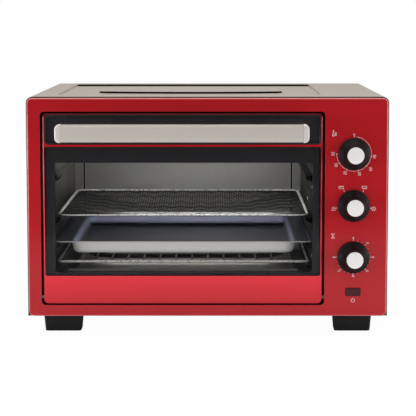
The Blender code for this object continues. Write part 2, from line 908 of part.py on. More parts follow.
def build_door():
    """The painted frame with what is set in it from behind: glass, retainer, inner panel and recess panel."""
    door_outline = rounded(door_left, door_right, door_bottom, door_top, opening_radius)
    frame = plate("door_frame", [door_outline], front_y, front_y + door_skin)
    round_edges(frame, door_round, 3, lambda at: at.z > 0)
    inset = rounded(
        door_left + sheet, door_right - sheet, door_bottom + sheet, door_top - sheet, opening_radius - sheet
    )
    cut(frame, plate("hollow", [inset], front_y + sheet, front_y + door_skin + overrun))
    bands = [recess_outline(0), rounded(glass_left, glass_right, glass_bottom, glass_top, band_radius / 2)]
    cutters = [plate("band", [band], front_y - overrun, front_y + sheet + overrun) for band in bands]
    pins = [
        rod("pin_hole", (x - sheet, axis_y, axis_z), (x + sheet, axis_y, axis_z), pin_radius + gap, 12)
        for x in (door_left + sheet / 2, door_right - sheet / 2)
    ]
    cut(frame, gather("bands", cutters), gather("pin_holes", pins))
    place_piece(frame, red_paint, door_mover)
    pane = rounded(
        glass_left - seat_overlap,
        glass_right + seat_overlap,
        glass_bottom - seat_overlap,
        glass_top + seat_overlap,
        0,
    )
    place_piece(plate("door_glass", [pane], seat_y, seat_y + glass_thickness), glass, door_mover)
    left = door_left + inner_side
    right = door_right - inner_side
    low = door_bottom + sheet + gap
    window = rounded(window_left, window_right, window_bottom, window_top, window_radius)
    edge = rounded(left, right, low, glass_top + seat_overlap, inner_round)
    retainer = plate("glass_retainer", [edge, window], retainer_y, retainer_y + sheet)
    place_piece(retainer, black_enamel, door_mover)
    build_inner_panel(left, right, low)
    build_recess_panel()


def build_inner_panel(left, right, low):
    """The door's inner sheet: a tray that opens forwards, with a flanged window."""
    high = door_top - sheet - gap
    start = inner_y
    back = front_y + door_thickness
    panel = plate("door_inner_panel", [rounded(left, right, low, high, inner_round)], start, back)
    hollow = rounded(left + sheet, right - sheet, low + sheet, high - sheet, inner_round - sheet / 2)
    around = rounded(
        window_left - sheet, window_right + sheet, window_bottom - sheet, window_top + sheet, window_radius + sheet
    )
    cut(panel, plate("hollow", [hollow, around], start - overrun, back - sheet))
    window = rounded(window_left, window_right, window_bottom, window_top, window_radius)
    cut(panel, plate("window", [window], start - overrun, back + overrun))
    place_piece(panel, liner_steel, door_mover)


def recess_outline(grow):
    return rounded(
        glass_left - grow, glass_right + grow, recess_low - grow, recess_high + grow, band_radius + grow
    )


def build_recess_panel():
    """The black moulded panel behind the handle: a shallow tub with a flange behind the painted frame."""
    tub_back = recess_floor_y + recess_wall
    panel = plate("handle_recess_panel", [recess_outline(-gap)], front_y + sheet / 2, tub_back)
    join(panel, plate("flange", [recess_outline(seat_overlap)], seat_y, seat_y + recess_wall))
    cut(panel, plate("tub", [recess_outline(-gap - recess_wall)], front_y - overrun, recess_floor_y))
    place_piece(panel, black_plastic, door_mover)


def build_handle():
    """A broad flat bar between two end caps, each of which has the post that carries it."""
    face = front_y - handle_reach
    back = face + handle_thickness
    left = door_left + handle_inset
    right = door_right - handle_inset
    low = handle_z - handle_height / 2
    high = handle_z + handle_height / 2
    section = rounded(face, back, low, high, handle_crown, 3)
    wall = handle_wall
    inside = rounded(face + wall, back - wall, low + wall, high - wall, handle_crown - wall, 3)
    bar = plate("handle_bar", [section, inside], left + cap_length + gap, right - cap_length - gap, side_turn)
    place_piece(bar, satin_steel, door_mover)
    for side, end, inward in (("left", left, 1), ("right", right, -1)):
        xs = sorted((end, end + inward * 3 * cap_length))
        cap = plate(f"handle_end_{side}", [rounded(*xs, low, high, handle_radius)], face, face + cap_depth)
        round_edges(cap, cap_round, 2, lambda at: at.z > 0)
        xs = sorted((end + inward * cap_length, end + inward * 4 * cap_length))
        cut(cap, block("bar_space", (xs[0], face - overrun, low - overrun), (xs[1], back + cap_depth, high + overrun)))
        xs = sorted((end + inward * overrun, end + inward * post_width))
        post = rounded(*xs, handle_z - post_height / 2, handle_z + post_height / 2, cap_round, 2)
        join(cap, plate("post", [post], back + gap, recess_floor_y - gap))
        place_piece(cap, satin_steel, door_mover)


def build_hinges():
    """On each side a bracket behind the fascia, a pin, and a plate inside the door."""
    for side, edge, door_edge, out in (
        ("left", opening_left, door_left, -1),
        ("right", opening_right, door_right, 1),
    ):
        near = edge + out * (sheet + gap)
        far = near + out * hinge_steel
        ys = (front_y + sheet + gap, front_y + opening_flange)
        hole = circle(axis_y, axis_z, pin_radius + gap, 12)
        outline = rounded(*ys, axis_z - bracket_half, axis_z + bracket_half, opening_radius / 2, 2)
        bracket = plate(f"hinge_bracket_{side}", [outline, hole], *sorted((near, far)), side_turn)
        place_piece(bracket, galvanised)
        inner = door_edge - out * (sheet + gap)
        inmost = inner - out * hinge_steel
        low = door_bottom + opening_radius
        outline = rounded(ys[0], ys[0] + hinge_width, low, low + hinge_height, inner_round, 2)
        lever = plate(f"hinge_plate_{side}", [outline, hole], *sorted((inner, inmost)), side_turn)
        place_piece(lever, galvanised, door_mover)
        pin = rod(f"hinge_pin_{side}", (inmost, axis_y, axis_z), (far + out * pin_end, axis_y, axis_z), pin_radius, 12)
        place_piece(pin, galvanised, door_mover)


def blades(name, count, inner, outer, low, high, tilt):
    """Flat blades round the local Z axis, each turned about its own length."""
    made = []
    for i in range(count):
        work = bmesh.new()
        bmesh.ops.create_cube(work, size=1)
        bmesh.ops.scale(work, vec=(outer - inner, blade_sheet, high - low), verts=work.verts)
        spin = Matrix.Rotation(2 * math.pi * i / count, 4, "Z")
        shift = Matrix.Translation(((inner + outer) / 2, 0, (low + high) / 2))
        place = spin @ shift @ Matrix.Rotation(tilt, 4, "X")
        made.append(from_work("blade", work, place))
    return gather(name, made)


def build_fan():
    """The can behind the perforated wall, the wheel in it, the shaft, the motor and the motor's own fan."""
    along = Matrix.Rotation(math.pi / 2, 4, "Y")  # local Z runs along +X
    at = Matrix.Translation((housing_x, fan_y, fan_z)) @ along
    can = [
        (shaft_hole, housing_depth),
        (housing_radius, housing_depth),
        (housing_radius, liner),
        (housing_flange, liner),
        (housing_flange, 0),
        (housing_radius - liner, 0),
        (housing_radius - liner, housing_depth - liner),
        (shaft_hole, housing_depth - liner),
    ]
    place_piece(turned("fan_housing", can, at, 20, bored=True), galvanised)
    bore = shaft_radius + gap
    wheel_x = housing_x + fan_clearance
    wheel_at = Matrix.Translation((wheel_x, fan_y, fan_z)) @ along
    hub = [(bore, fan_height), (fan_hub, fan_height), (fan_hub, blade_sheet)]
    wheel = [*hub, (fan_radius, blade_sheet), (fan_radius, 0), (bore, 0)]
    fan = turned("convection_fan", wheel, wheel_at, 16, bored=True)
    vanes = blades("vanes", 8, fan_radius / 3, fan_radius - blade_sheet, blade_sheet / 2, fan_height - blade_sheet, 0)
    vanes.matrix_basis = wheel_at
    join(fan, vanes)
    place_piece(fan, galvanised, fan_mover)
    shaft_end = motor_x + motor_length + fan_clearance + cooling_height
    shaft = rod("fan_shaft", (wheel_x - blade_sheet, fan_y, fan_z), (shaft_end, fan_y, fan_z), shaft_radius, 12)
    place_piece(shaft, galvanised, fan_mover)
    cooling_at = Matrix.Translation((motor_x + motor_length + fan_clearance, fan_y, fan_z)) @ along
    cooler = turned(
        "cooling_fan",
        [(bore, cooling_height), (fan_hub, cooling_height), (fan_hub, 0), (bore, 0)],
        cooling_at,
        12,
        bored=True,
    )
    fins = blades("fins", 5, fan_hub * 2 / 3, cooling_radius, 0, cooling_height, math.radians(55))
    fins.matrix_basis = cooling_at
    join(cooler, fins)
    place_piece(cooler, black_plastic, fan_mover)
    build_motor()


def build_motor():
    """The divider beside the liner, the bracket on it and the motor on the bracket."""
    low = body_bottom + sheet + gap
    right = shield_x + shield_flange
    high = body_top - shield_drop
    outline = [
        (shield_x, low),
        (right, low),
        (right, low + liner),
        (shield_x + liner, low + liner),
        (shield_x + liner, high),
        (shield_x, high),
    ]
    start = liner_front + shield_margin
    shield = plate("heat_shield", [outline], start, back_y - rear_lip - shield_margin)
    ends = ((shield_x - overrun, fan_y, fan_z), (shield_x + liner + overrun, fan_y, fan_z))
    cut(shield, rod("shaft_hole", *ends, shaft_hole))
    place_piece(shield, galvanised)
    x0 = shield_x + liner + gap
    x1 = motor_x - gap
    hat = [
        (x0, -bracket_outer),
        (x0 + liner, -bracket_outer),
        (x0 + liner, -bracket_inner),
        (x1, -bracket_inner),
        (x1, bracket_inner),
        (x0 + liner, bracket_inner),
        (x0 + liner, bracket_outer),
        (x0, bracket_outer),
        (x0, bracket_inner - liner),
        (x1 - liner, bracket_inner - liner),
        (x1 - liner, liner - bracket_inner),
        (x0, liner - bracket_inner),
    ]
    outline = [(x, fan_z + z) for x, z in hat]
    bracket = plate("fan_motor_bracket", [outline], fan_y - bracket_width / 2, fan_y + bracket_width / 2)
    ends = ((x1 - liner - overrun, fan_y, fan_z), (x1 + overrun, fan_y, fan_z))
    cut(bracket, rod("shaft_hole", *ends, shaft_hole))
    place_piece(bracket, galvanised)
    low = (motor_x, fan_y - motor_width / 2, fan_z - motor_height / 2)
    high = (motor_x + motor_length * 2 / 3, fan_y + motor_width / 2, fan_z + motor_height / 2)
    motor = block("fan_motor", low, high)
    round_edges(motor, motor_round, 1)
    start = (motor_x + motor_round, fan_y, fan_z)
    join(motor, rod("end_bell", start, (motor_x + motor_length, fan_y, fan_z), motor_width / 3, 16))
    ends = ((motor_x - overrun, fan_y, fan_z), (motor_x + motor_length + overrun, fan_y, fan_z))
    cut(motor, rod("bore", *ends, shaft_radius + gap, 12))
    place_piece(motor, motor_steel)


def build_controls():
    """The bracket behind the fascia, the three controls on it, and on each its shaft, knob and cap."""
    web = front_y + control_web
    low = (control_x - control_half, front_y + sheet + gap, timer_z - control_end)
    high = (control_x + control_half, web + sheet, temperature_z + control_end)
    bracket = block("control_bracket", low, high)
    inside = (control_x - control_half + sheet, front_y, timer_z - control_end - overrun)
    far = (control_x + control_half - sheet, web, temperature_z + control_end + overrun)
    cut(bracket, block("channel", inside, far))
    heights = (temperature_z, function_z, timer_z)
    holes = [
        rod("hole", (control_x, web - overrun, z), (control_x, web + sheet + overrun, z), bushing_radius + gap, 12)
        for z in heights
    ]
    cut(bracket, gather("bushing_holes", holes))
    place_piece(bracket, galvanised)
    seat = web + sheet + gap
    half = control_width / 2
    for name, z in zip(("thermostat_body", "function_switch_body", "timer_body"), heights):
        if name == "timer_body":
            profile = [(0, 0), (timer_radius, 0), (timer_radius, -control_depth), (0, -control_depth)]
            body = turned(name, profile, Matrix.Translation((control_x, seat, z)) @ front_turn, 20)
        else:
            body = block(name, (control_x - half, seat, z - half), (control_x + half, seat + control_depth, z + half))
            round_edges(body, control_round, 1)
        if name == "function_switch_body":
            step = block(
                "step",
                (control_x - half - switch_step, seat + control_depth / 3, z - half / 2),
                (control_x + half + switch_step, seat + control_depth * 2 / 3, z + half / 2),
            )
            join(body, step)
        nose = (control_x, seat - bushing_length, z)
        join(body, rod("bushing", nose, (control_x, seat + overrun, z), bushing_radius, 12))
        end = (control_x, seat + spindle_seat + gap, z)
        cut(body, rod("bore", (control_x, nose[1] - overrun, z), end, spindle_radius + gap, 12))
        place_piece(body, black_plastic if name != "timer_body" else motor_steel)
    for name, z, turn in zip(("temperature", "function", "timer"), heights, pointer_turns):
        build_knob(name, z, seat + spindle_seat, turn)


pointer_turns = (0, math.radians(-33), 0)  # the middle knob points to the left one of its two upper settings
knob_profile_shares = [(0.96, 0.985), (1.0, 0.93), (1.10, 0.66), (1.30, 0.34)]


def build_knob(name, z, spindle_end, turn):
    """A black knob with a broad skirt, a bright cap let into its face, and the flatted steel shaft it sits on."""
    axis = mover(f"{name}_axis", (control_x, front_y, z))
    axis.rotation_euler = (0, turn, 0)
    at = Matrix.Translation((control_x, front_y, z)) @ front_turn
    cup = cap_radius + gap
    floor = knob_height - cap_inset
    side = [(knob_crest * r, knob_height * h) for r, h in knob_profile_shares]
    skirt = knob_height / 5
    bore_radius = spindle_radius + gap
    bore_top = knob_lift + knob_bore_depth
    profile = [
        (0, floor),
        (cup, floor),
        (cup, knob_height - cap_crown),
        *side,
        (knob_radius, skirt),
        (knob_radius, knob_lift),
        (knob_cup, knob_lift),
        (knob_cup, knob_lift + knob_cup_depth),
        (bore_radius, knob_lift + knob_cup_depth),
        (bore_radius, bore_top),
        (0, bore_top),
    ]
    place_piece(turned(f"{name}_knob", profile, at, 20), black_plastic, axis)
    cap = [(0, knob_height + cap_crown), (cap_radius * 2 / 3, knob_height + cap_crown / 2)]
    cap += [(cap_radius, knob_height - cap_crown), (cap_radius, floor + gap), (0, floor + gap)]
    disc = turned(f"{name}_knob_cap", cap, at, 20)
    y = front_y - knob_height
    low = (control_x - pointer_width / 2, y - overrun, z + cap_radius - pointer_length)
    cut(disc, block("pointer", low, (control_x + pointer_width / 2, y + cap_crown, z + 2 * cap_radius)))
    place_piece(disc, satin_steel, axis)
    start = (control_x, front_y - bore_top + gap, z)
    spindle = rod(f"{name}_shaft", start, (control_x, spindle_end, z), spindle_radius, 12)
    low = (control_x - knob_radius, start[1] - overrun, z + spindle_radius - spindle_flat)
    cut(spindle, block("flat", low, (control_x + knob_radius, front_y - knob_lift, z + knob_radius)))
    place_piece(spindle, galvanised, axis)


def lens_outline(grow):
    z = body_bottom + lens_rise
    wide = lens_width / 2 + grow
    tall = lens_height / 2 + grow
    return rounded(control_x - wide, control_x + wide, z - tall, z + tall, lens_radius + grow, 3)


def build_lens():
    """A moulded lens that shows through the fascia, with a flange behind it."""
    seat = front_y + sheet + gap
    lens = plate("indicator_lens", [lens_outline(0)], front_y - lens_proud, seat + lens_flange)
    round_edges(lens, lens_proud / 2, 1, lambda at: at.z > 0)
    join(lens, plate("flange", [lens_outline(lens_flange)], seat, seat + lens_flange - gap))
    place_piece(lens, lens_red)


def loop_points(width, length, radius, z, steps=6):
    """Points round a level rounded rectangle whose front is at the shelves' front."""
    half = width / 2
    outline = rounded(cavity_middle - half, cavity_middle + half, shelf_y, shelf_y + length, radius, steps)
    return [(x, y, z) for x, y in outline]


def build_basket():
    """The air fryer basket: a bright rim wire and a shallow dish of square mesh that hangs inside it."""
    z = cavity_bottom + basket_level + gap + rim_radius
    basket_mover = mover("basket_front", (cavity_middle, shelf_y, z))
    inner_length = rim_length - 2 * rim_radius
    inner_width = rim_width - 2 * rim_radius
    loop = [
        (x, y + rim_radius, h) for x, y, h in loop_points(inner_width, inner_length, rim_corner - rim_radius, z)
    ]
    place_piece(wire("basket_rim", loop, rim_radius, closed=True), chrome, basket_mover)
    inset = 2 * rim_radius + gap + mesh_wire / 2
    half_x = rim_width / 2 - inset
    half_y = rim_length / 2 - inset
    corner = rim_corner - inset
    work = bmesh.new()
    bmesh.ops.create_grid(work, x_segments=mesh_across, y_segments=mesh_along, size=1)
    for point in work.verts:
        x, y = point.co.x * half_x, point.co.y * half_y
        over_x = max(abs(x) - half_x + corner, 0)
        over_y = max(abs(y) - half_y + corner, 0)
        far = math.hypot(over_x, over_y)
        if far > corner:
            x -= math.copysign(over_x * (1 - corner / far), x)
            y -= math.copysign(over_y * (1 - corner / far), y)
            far = corner
        edge = min(half_x - abs(x), half_y - abs(y)) if not (over_x and over_y) else corner - far
        drop = min(edge / mesh_slope, 1)
        point.co = (x, y, -mesh_depth * drop)
    mesh = bpy.data.meshes.new("basket_mesh")
    work.to_mesh(mesh)
    work.free()
    dish = bpy.data.objects.new("basket_mesh", mesh)
    dish.matrix_basis = Matrix.Translation((cavity_middle, shelf_y + rim_length / 2, z))
    helpers.objects.link(dish)
    wires = dish.modifiers.new("wires", "WIREFRAME")
    wires.thickness = mesh_wire
    wires.use_boundary = True
    wires.use_even_offset = False
    place_piece(dish, chrome, basket_mover)


def build_pan():
    """The baking pan: one pressed sheet with a level flange, drafted walls and a rounded foot."""
    z = cavity_bottom + pan_level + gap + pan_sheet
    pan_mover = mover("pan_front", (cavity_middle, shelf_y, z))
    steps = (
        (0, 0),
        (pan_draft, pan_depth - pan_foot_round),
        (pan_draft + pan_foot_round / 3, pan_depth - pan_foot_round / 3),
        (pan_draft + pan_foot_round, pan_depth),
    )
    outlines = [(rounded(-pan_width / 2, pan_width / 2, 0, pan_length, pan_corner, 5), 0)]
    for inset, drop in steps:
        half = pan_width / 2 - pan_side_flange - inset
        end = pan_end_flange + inset
        outlines.append((rounded(-half, half, end, pan_length - end, pan_body_corner - inset, 5), drop))
    rings = [[(x, y, -drop) for x, y in outline] for outline, drop in outlines]
    work = loft("bake_pan", rings, None)
    bmesh.ops.recalc_face_normals(work, faces=work.faces)
    if sum(face.normal.z * face.calc_area() for face in work.faces) < 0:
        bmesh.ops.reverse_faces(work, faces=work.faces)
    mesh = bpy.data.meshes.new("bake_pan")
    work.to_mesh(mesh)
    work.free()
    pan = bpy.data.objects.new("bake_pan", mesh)
    pan.matrix_basis = Matrix.Translation((cavity_middle, shelf_y, z))
    helpers.objects.link(pan)
    thickness = pan.modifiers.new("thickness", "SOLIDIFY")
    thickness.thickness = pan_sheet
    thickness.offset = -1
    thickness.use_even_offset = True
    place_piece(pan, nonstick, pan_mover)


def build_rack():
    """The wire rack: a frame wire, rods from front to back and one bar across under them."""
    z = cavity_bottom + rack_level + gap + rack_wire
    rack_mover = mover("rack_front", (cavity_middle, shelf_y, z))
    width = rack_width - 2 * rack_wire
    length = rack_length - 2 * rack_wire
    front = shelf_y + rack_wire
    loop = [(x, y + rack_wire, h) for x, y, h in loop_points(width, length, rack_corner, z, 4)]
    rack = wire("wire_rack", loop, rack_wire, closed=True)
    rods = []
    for i in range(rod_count):
        x = cavity_middle + rod_pitch * (i - (rod_count - 1) / 2)
        rods.append(rod("rod", (x, front, z), (x, front + length, z), rod_radius, 6))
    join(rack, gather("rods", rods))
    y = front + length / 2
    reach = rod_pitch * rod_count / 2
    ends = ((cavity_middle - reach, y, z - crossbar_drop), (cavity_middle + reach, y, z - crossbar_drop))
    join(rack, rod("crossbar", *ends, crossbar_radius, 8))
    place_piece(rack, chrome, rack_mover)


def build_crumb_tray():
    """The crumb tray on the liner's floor: a shallow tray with a tall front lip to pull it by."""
    z = cavity_bottom + gap
    front = tray_y
    tray_mover = mover("tray_front", (cavity_middle, front, z))
    left = cavity_middle - tray_width / 2
    right = cavity_middle + tray_width / 2
    tray = block("crumb_tray", (left, front, z), (right, front + tray_length, z + tray_side))
    inside = (left + liner, front + liner, z + liner)
    cut(tray, block("inside", inside, (right - liner, front + tray_length - liner, z + 2 * tray_side)))
    join(tray, block("lip", (left, front, z + liner / 2), (right, front + liner, z + tray_lip)))
    place_piece(tray, liner_steel, tray_mover)


build_feet()
build_front_panel()
build_outer_cover()
build_rear_cover()
build_base_plate()
build_cavity()
build_element("lower", lower_inset, lower_z, lower_setback)
build_element("upper", upper_inset, upper_z, upper_setback)
build_door()
build_handle()
build_hinges()
build_fan()
build_controls()
build_lens()
build_basket()
build_pan()
build_rack()
build_crumb_tray()
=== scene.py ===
# %% [markdown]
# # A countertop air fryer oven
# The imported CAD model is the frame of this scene: every sheet, hinge, knob and rack already stands where it
# belongs, in metres. This lesson gives each of them its finish, and makes again with numpy the forms that a CAD
# model keeps plain, such as woven mesh, turned knobs and pressed sheet.

# %% Load the frame
import json

import bmesh
import bpy
import numpy as np
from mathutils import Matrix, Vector


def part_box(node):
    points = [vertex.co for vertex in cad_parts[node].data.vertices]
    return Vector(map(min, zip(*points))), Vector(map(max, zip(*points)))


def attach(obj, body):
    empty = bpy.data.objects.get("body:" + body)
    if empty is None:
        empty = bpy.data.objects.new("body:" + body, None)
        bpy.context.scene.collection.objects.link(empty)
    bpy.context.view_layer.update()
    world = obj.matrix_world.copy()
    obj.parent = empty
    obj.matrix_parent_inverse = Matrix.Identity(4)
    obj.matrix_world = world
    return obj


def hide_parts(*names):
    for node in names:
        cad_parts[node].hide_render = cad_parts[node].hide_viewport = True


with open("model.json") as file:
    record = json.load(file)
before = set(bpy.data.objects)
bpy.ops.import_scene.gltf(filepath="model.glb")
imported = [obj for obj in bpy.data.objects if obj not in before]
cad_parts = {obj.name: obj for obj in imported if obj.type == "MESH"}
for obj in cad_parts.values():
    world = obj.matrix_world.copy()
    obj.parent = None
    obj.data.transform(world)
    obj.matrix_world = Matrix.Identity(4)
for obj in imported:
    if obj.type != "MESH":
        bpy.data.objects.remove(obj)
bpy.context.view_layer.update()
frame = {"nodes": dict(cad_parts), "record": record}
nodes = frame["nodes"]
mm = 0.001
fascia_y = -187 * mm  # the fascia's face, which the knobs and the cover's pressing are measured from

# %% [markdown]
# ## Colours and nodes
# Colours are written as a picture shows them, in sRGB, but shaders count in linear light, so one function turns
# the first into the second. Another adds a shader node with its settings and its links in one call, which keeps
# each material readable from top to bottom.


# %% Colours and shader nodes
def linear(code):
    """An sRGB hex colour as linear light: c/12.92 near black, ((c + 0.055)/1.055) to the power 2.4 above it."""
    c = np.array([int(code[i : i + 2], 16) / 255 for i in (0, 2, 4)])
    return (*np.where(c <= 0.04045, c / 12.92, ((c + 0.055) / 1.055) ** 2.4).tolist(), 1)


def add(tree, kind, *values, to=None, **settings):
    """Adds a node. Values fill its inputs in order; a setting is one of its properties, or an input by its name.

    A node or socket given for an input is linked to it, a text is a hex colour, and None leaves the input alone.
    `to` is the socket that the new node feeds.
    """
    made = tree.nodes.new("ShaderNode" + kind)
    named = {}
    for name, value in settings.items():
        if name in made.bl_rna.properties:
            setattr(made, name, value)
        else:
            named[name.replace("_", " ")] = value
    usable = [socket for socket in made.inputs if socket.enabled]
    pairs = list(zip(usable, values))
    pairs += [(next(s for s in usable if s.name == name), value) for name, value in named.items()]
    for socket, value in pairs:
        if isinstance(value, bpy.types.Node):
            value = next(out for out in value.outputs if out.enabled)
        if isinstance(value, str):
            value = linear(value)
        if isinstance(value, bpy.types.NodeSocket):
            tree.links.new(value, socket)
        elif value is not None:
            socket.default_value = value
    if to:
        tree.links.new(next(out for out in made.outputs if out.enabled), to)
    return made


# %% [markdown]
# ## One material
# Each material starts as one Principled shader. What is the same all over is set on the shader's own sockets, and
# textures for the rest are added after it, in the material's own cell.


# %% A material to start from
def material(name, colour, roughness, metallic=0.0, **sockets):
    """A material of one Principled shader, with what is the same all over set on the shader's own sockets.

    Returns it with its node tree, the shader's inputs and the place on the object that most textures start from.
    """
    made = bpy.data.materials.new(name)
    made.use_nodes = True
    shader = made.node_tree.nodes["Principled BSDF"]
    shader.inputs["Base Color"].default_value = linear(colour)
    shader.inputs["Roughness"].default_value = roughness
    shader.inputs["Metallic"].default_value = metallic
    for name, value in sockets.items():
        shader.inputs[name.replace("_", " ")].default_value = value
    where = add(made.node_tree, "TexCoord").outputs["Object"]
    print("material:", made.name)
    return made, made.node_tree, shader.inputs, where


# %% [markdown]
# ## The photograph's camera
# The lens looks along the oven's depth from 470 mm above the floor. The back wall's size against the mouth gives
# the distance, 2.1 m to the fascia, and the body's width in the picture the focal length. The camera tilts 5.5
# degrees down, and a small shift of the film puts the oven where the picture has it, as an architect's lens does.

# %% Camera
lens = bpy.data.cameras.new("front_camera")
lens.sensor_width = 36
lens.lens = 123.97
lens.shift_x = -0.0264
lens.shift_y = -0.1396
camera = bpy.data.objects.new("front_camera", lens)
camera.location = (0.0168, -2.2675, 0.4718)
tilt = 5.5
camera.rotation_euler = (np.radians(90 - tilt), 0, 0)
bpy.context.scene.collection.objects.link(camera)
bpy.context.scene.camera = camera
bpy.context.scene.view_settings.view_transform = "Standard"
print("camera distance:", round(-camera.location.y, 3), "m, tilt:", tilt, "degrees")

# %% [markdown]
# ## A white studio
# The oven was photographed on white. The air of the studio is white to the camera, and lights the oven evenly at
# a lower level. What polished metal mirrors is white too, except towards the photographer, where a studio is
# dark: that keeps the red deep, and turns every steep wall that faces the camera nearly black.

# %% Studio air
world = bpy.data.worlds.new("studio_air")
bpy.context.scene.world = world
world.use_nodes = True
tree = world.node_tree
ray = add(tree, "LightPath")
direction = add(tree, "SeparateXYZ", add(tree, "TexCoord").outputs["Generated"])
mirrored = add(tree, "MapRange", direction.outputs["Y"], -0.92, 0.1, 0.02, 0.85)
diffuse = add(tree, "MapRange", direction.outputs["Z"], -0.3, 0.5, 0.62, 0.5)
level = add(tree, "Mix", ray.outputs["Is Glossy Ray"], diffuse, mirrored)
seen = add(tree, "Math", ray.outputs["Is Camera Ray"], ray.outputs["Is Transmission Ray"], operation="MAXIMUM")
strength = add(tree, "Mix", seen, level, 1.0)
tree.links.new(strength.outputs[0], tree.nodes["Background"].inputs["Strength"])
tree.nodes["Background"].inputs["Color"].default_value = (1, 1, 1, 1)
print("air:", world.name)

# %% [markdown]
# ## The floor
# A pale sheet lies under the oven. To the camera it glows almost as white as the air, so that no edge shows
# between them, and the small share that doesn't glow still takes the feet's soft shadow.

# %% Floor
floor_mesh = bpy.data.meshes.new("floor")
floor_mesh.from_pydata([(-5, -1.1, 0), (5, -1.1, 0), (5, 9, 0), (-5, 9, 0)], [], [(0, 1, 2, 3)])
floor = bpy.data.objects.new("floor", floor_mesh)
bpy.context.scene.collection.objects.link(floor)
white_floor, tree, shader, _ = material("white_studio_floor", "F4F4F4", 0.6)
ray = add(tree, "LightPath")
seen = add(tree, "Math", ray.outputs["Is Camera Ray"], ray.outputs["Is Transmission Ray"], operation="MAXIMUM")
glow = add(tree, "Emission", (1, 1, 1, 1), 1.0)
share = add(tree, "Math", seen, 0.975, operation="MULTIPLY")
mixed = add(tree, "MixShader", share, tree.nodes["Principled BSDF"], glow)
tree.links.new(mixed.outputs[0], tree.nodes["Material Output"].inputs["Surface"])
floor_mesh.materials.append(white_floor)
print("floor:", floor.name)

# %% [markdown]
# ## Lamps
# A broad softbox stands high in front and another hangs above. Small ones, low on the left and level on the
# right, brighten the fascia towards its foot and its right edge. Three strips inside the cavity, under the roof,
# over the floor and over the pan, stand for the light that the photograph shows inside.


# %% Lamps
def lamp(name, place, aim, width, height, power):
    """A rectangular softbox at a place. Its -Z axis, which sends the light, is turned to look at a point."""
    light = bpy.data.lights.new(name, "AREA")
    light.shape = "RECTANGLE"
    light.size = width
    light.size_y = height
    light.energy = power
    made = bpy.data.objects.new(name, light)
    made.visible_camera = False
    made.location = place
    made.rotation_euler = (Vector(aim) - Vector(place)).to_track_quat("-Z", "Y").to_euler()
    bpy.context.scene.collection.objects.link(made)


middle = (0, 0, 0.17)
lamp("softbox_front", (-0.35, -1.9, 1.25), middle, 1.6, 0.9, 5)
lamp("softbox_above", (0.0, 0.15, 1.6), (0, 0.1, 0), 1.6, 1.0, 17)
lamp("softbox_low_left", (-1.3, -0.75, 0.14), (-0.1, -0.2, 0.06), 0.5, 0.2, 4.5)
lamp("softbox_right", (1.3, -0.8, 0.3), (0.2, -0.2, 0.2), 0.5, 0.4, 4.6)
mouth_low, mouth_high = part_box("cavity_top")
mouth = ((mouth_low[0] + mouth_high[0]) / 2, mouth_low[1] + 18 * mm, mouth_low[2] - 4 * mm)
lamp("cavity_fill", (mouth[0] + 0.02, *mouth[1:]), (mouth[0] + 0.03, mouth_high[1], 0.16), 0.25, 0.015, 0.73)
lamp("floor_fill", (mouth[0], 0.01, 0.078), (mouth[0], mouth_high[1], 0.1), 0.26, 0.01, 0.14)
lamp("pan_fill", (mouth[0], -0.13, 0.14), (mouth[0], 0.14, 0.13), 0.3, 0.006, 0.1)
print("lamps:", [light.name for light in bpy.data.lights])

# %% [markdown]
# ## Surfaces on grids
# Every new piece is a surface on a grid of points, worked out as whole arrays: rows run along a profile and
# columns along a path or round an axis. The grid's quads join neighbours, so the same few lines turn any grid
# into a mesh. Points that fall together, as at a pole or a seam, are merged.


# %% Grids into meshes
def quads(rows, columns, around=False, along=False, keep=None):
    """Corner numbers of a grid's quads: i, j to i, j+1, i+1, j+1 and i+1, j, wrapping round where asked."""
    i, j = np.meshgrid(np.arange(rows - (not along)), np.arange(columns - (not around)), indexing="ij")
    if keep is not None:
        i, j = i[keep], j[keep]
    i, j = i.ravel(), j.ravel()
    k, l = (i + 1) % rows, (j + 1) % columns
    return np.stack([i * columns + j, i * columns + l, k * columns + l, k * columns + j], axis=1)


def piece(name, grids, finish, body, stands_for=(), closed=True, angle=35):
    """One object from (points, quads) pairs, merged where they meet, riding on a body in place of CAD nodes."""
    points = [np.asarray(at, float).reshape(-1, 3) for at, _ in grids]
    starts = np.cumsum([0] + [len(at) for at in points])
    corners = [np.asarray(numbers) + start for (_, numbers), start in zip(grids, starts)]
    mesh = bpy.data.meshes.new(name)
    mesh.from_pydata(np.concatenate(points).tolist(), [], [row for part in corners for row in part.tolist()])
    work = bmesh.new()
    work.from_mesh(mesh)
    bmesh.ops.remove_doubles(work, verts=work.verts, dist=0.002 * mm)
    bmesh.ops.dissolve_degenerate(work, edges=work.edges, dist=0.001 * mm)
    if closed:
        bmesh.ops.recalc_face_normals(work, faces=work.faces)
    work.to_mesh(mesh)
    work.free()
    return settle(name, mesh, finish, body, stands_for, angle)


# %% [markdown]
# ## Meshes into pieces
# A finished mesh becomes an object that rides on its body. Two more helpers serve sheet metal: one makes flat
# areas shade flat, and one makes a CAD node's own mesh softer at its edges.


# %% Meshes into pieces
def settle(name, mesh, finish, body, stands_for, angle=35):
    """Makes a mesh an object with its finish, smooth but for its sharp edges, and hands it to its body."""
    mesh.materials.clear()
    for look in finish if isinstance(finish, tuple) else (finish,):
        mesh.materials.append(look)
    mesh.shade_smooth()
    mesh.set_sharp_from_angle(angle=np.radians(angle))
    made = bpy.data.objects.new(name, mesh)
    bpy.context.scene.collection.objects.link(made)
    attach(made, body)
    if stands_for:
        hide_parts(*stands_for)
    print(name, "faces:", len(mesh.polygons))
    return made


def flattened(made):
    """Lets each vertex take its normal from its largest faces, so that flat sheet looks flat beside its bends."""
    weighing = made.modifiers.new("flat_faces", "WEIGHTED_NORMAL")
    weighing.keep_sharp = True
    weighing.weight = 90
    return made


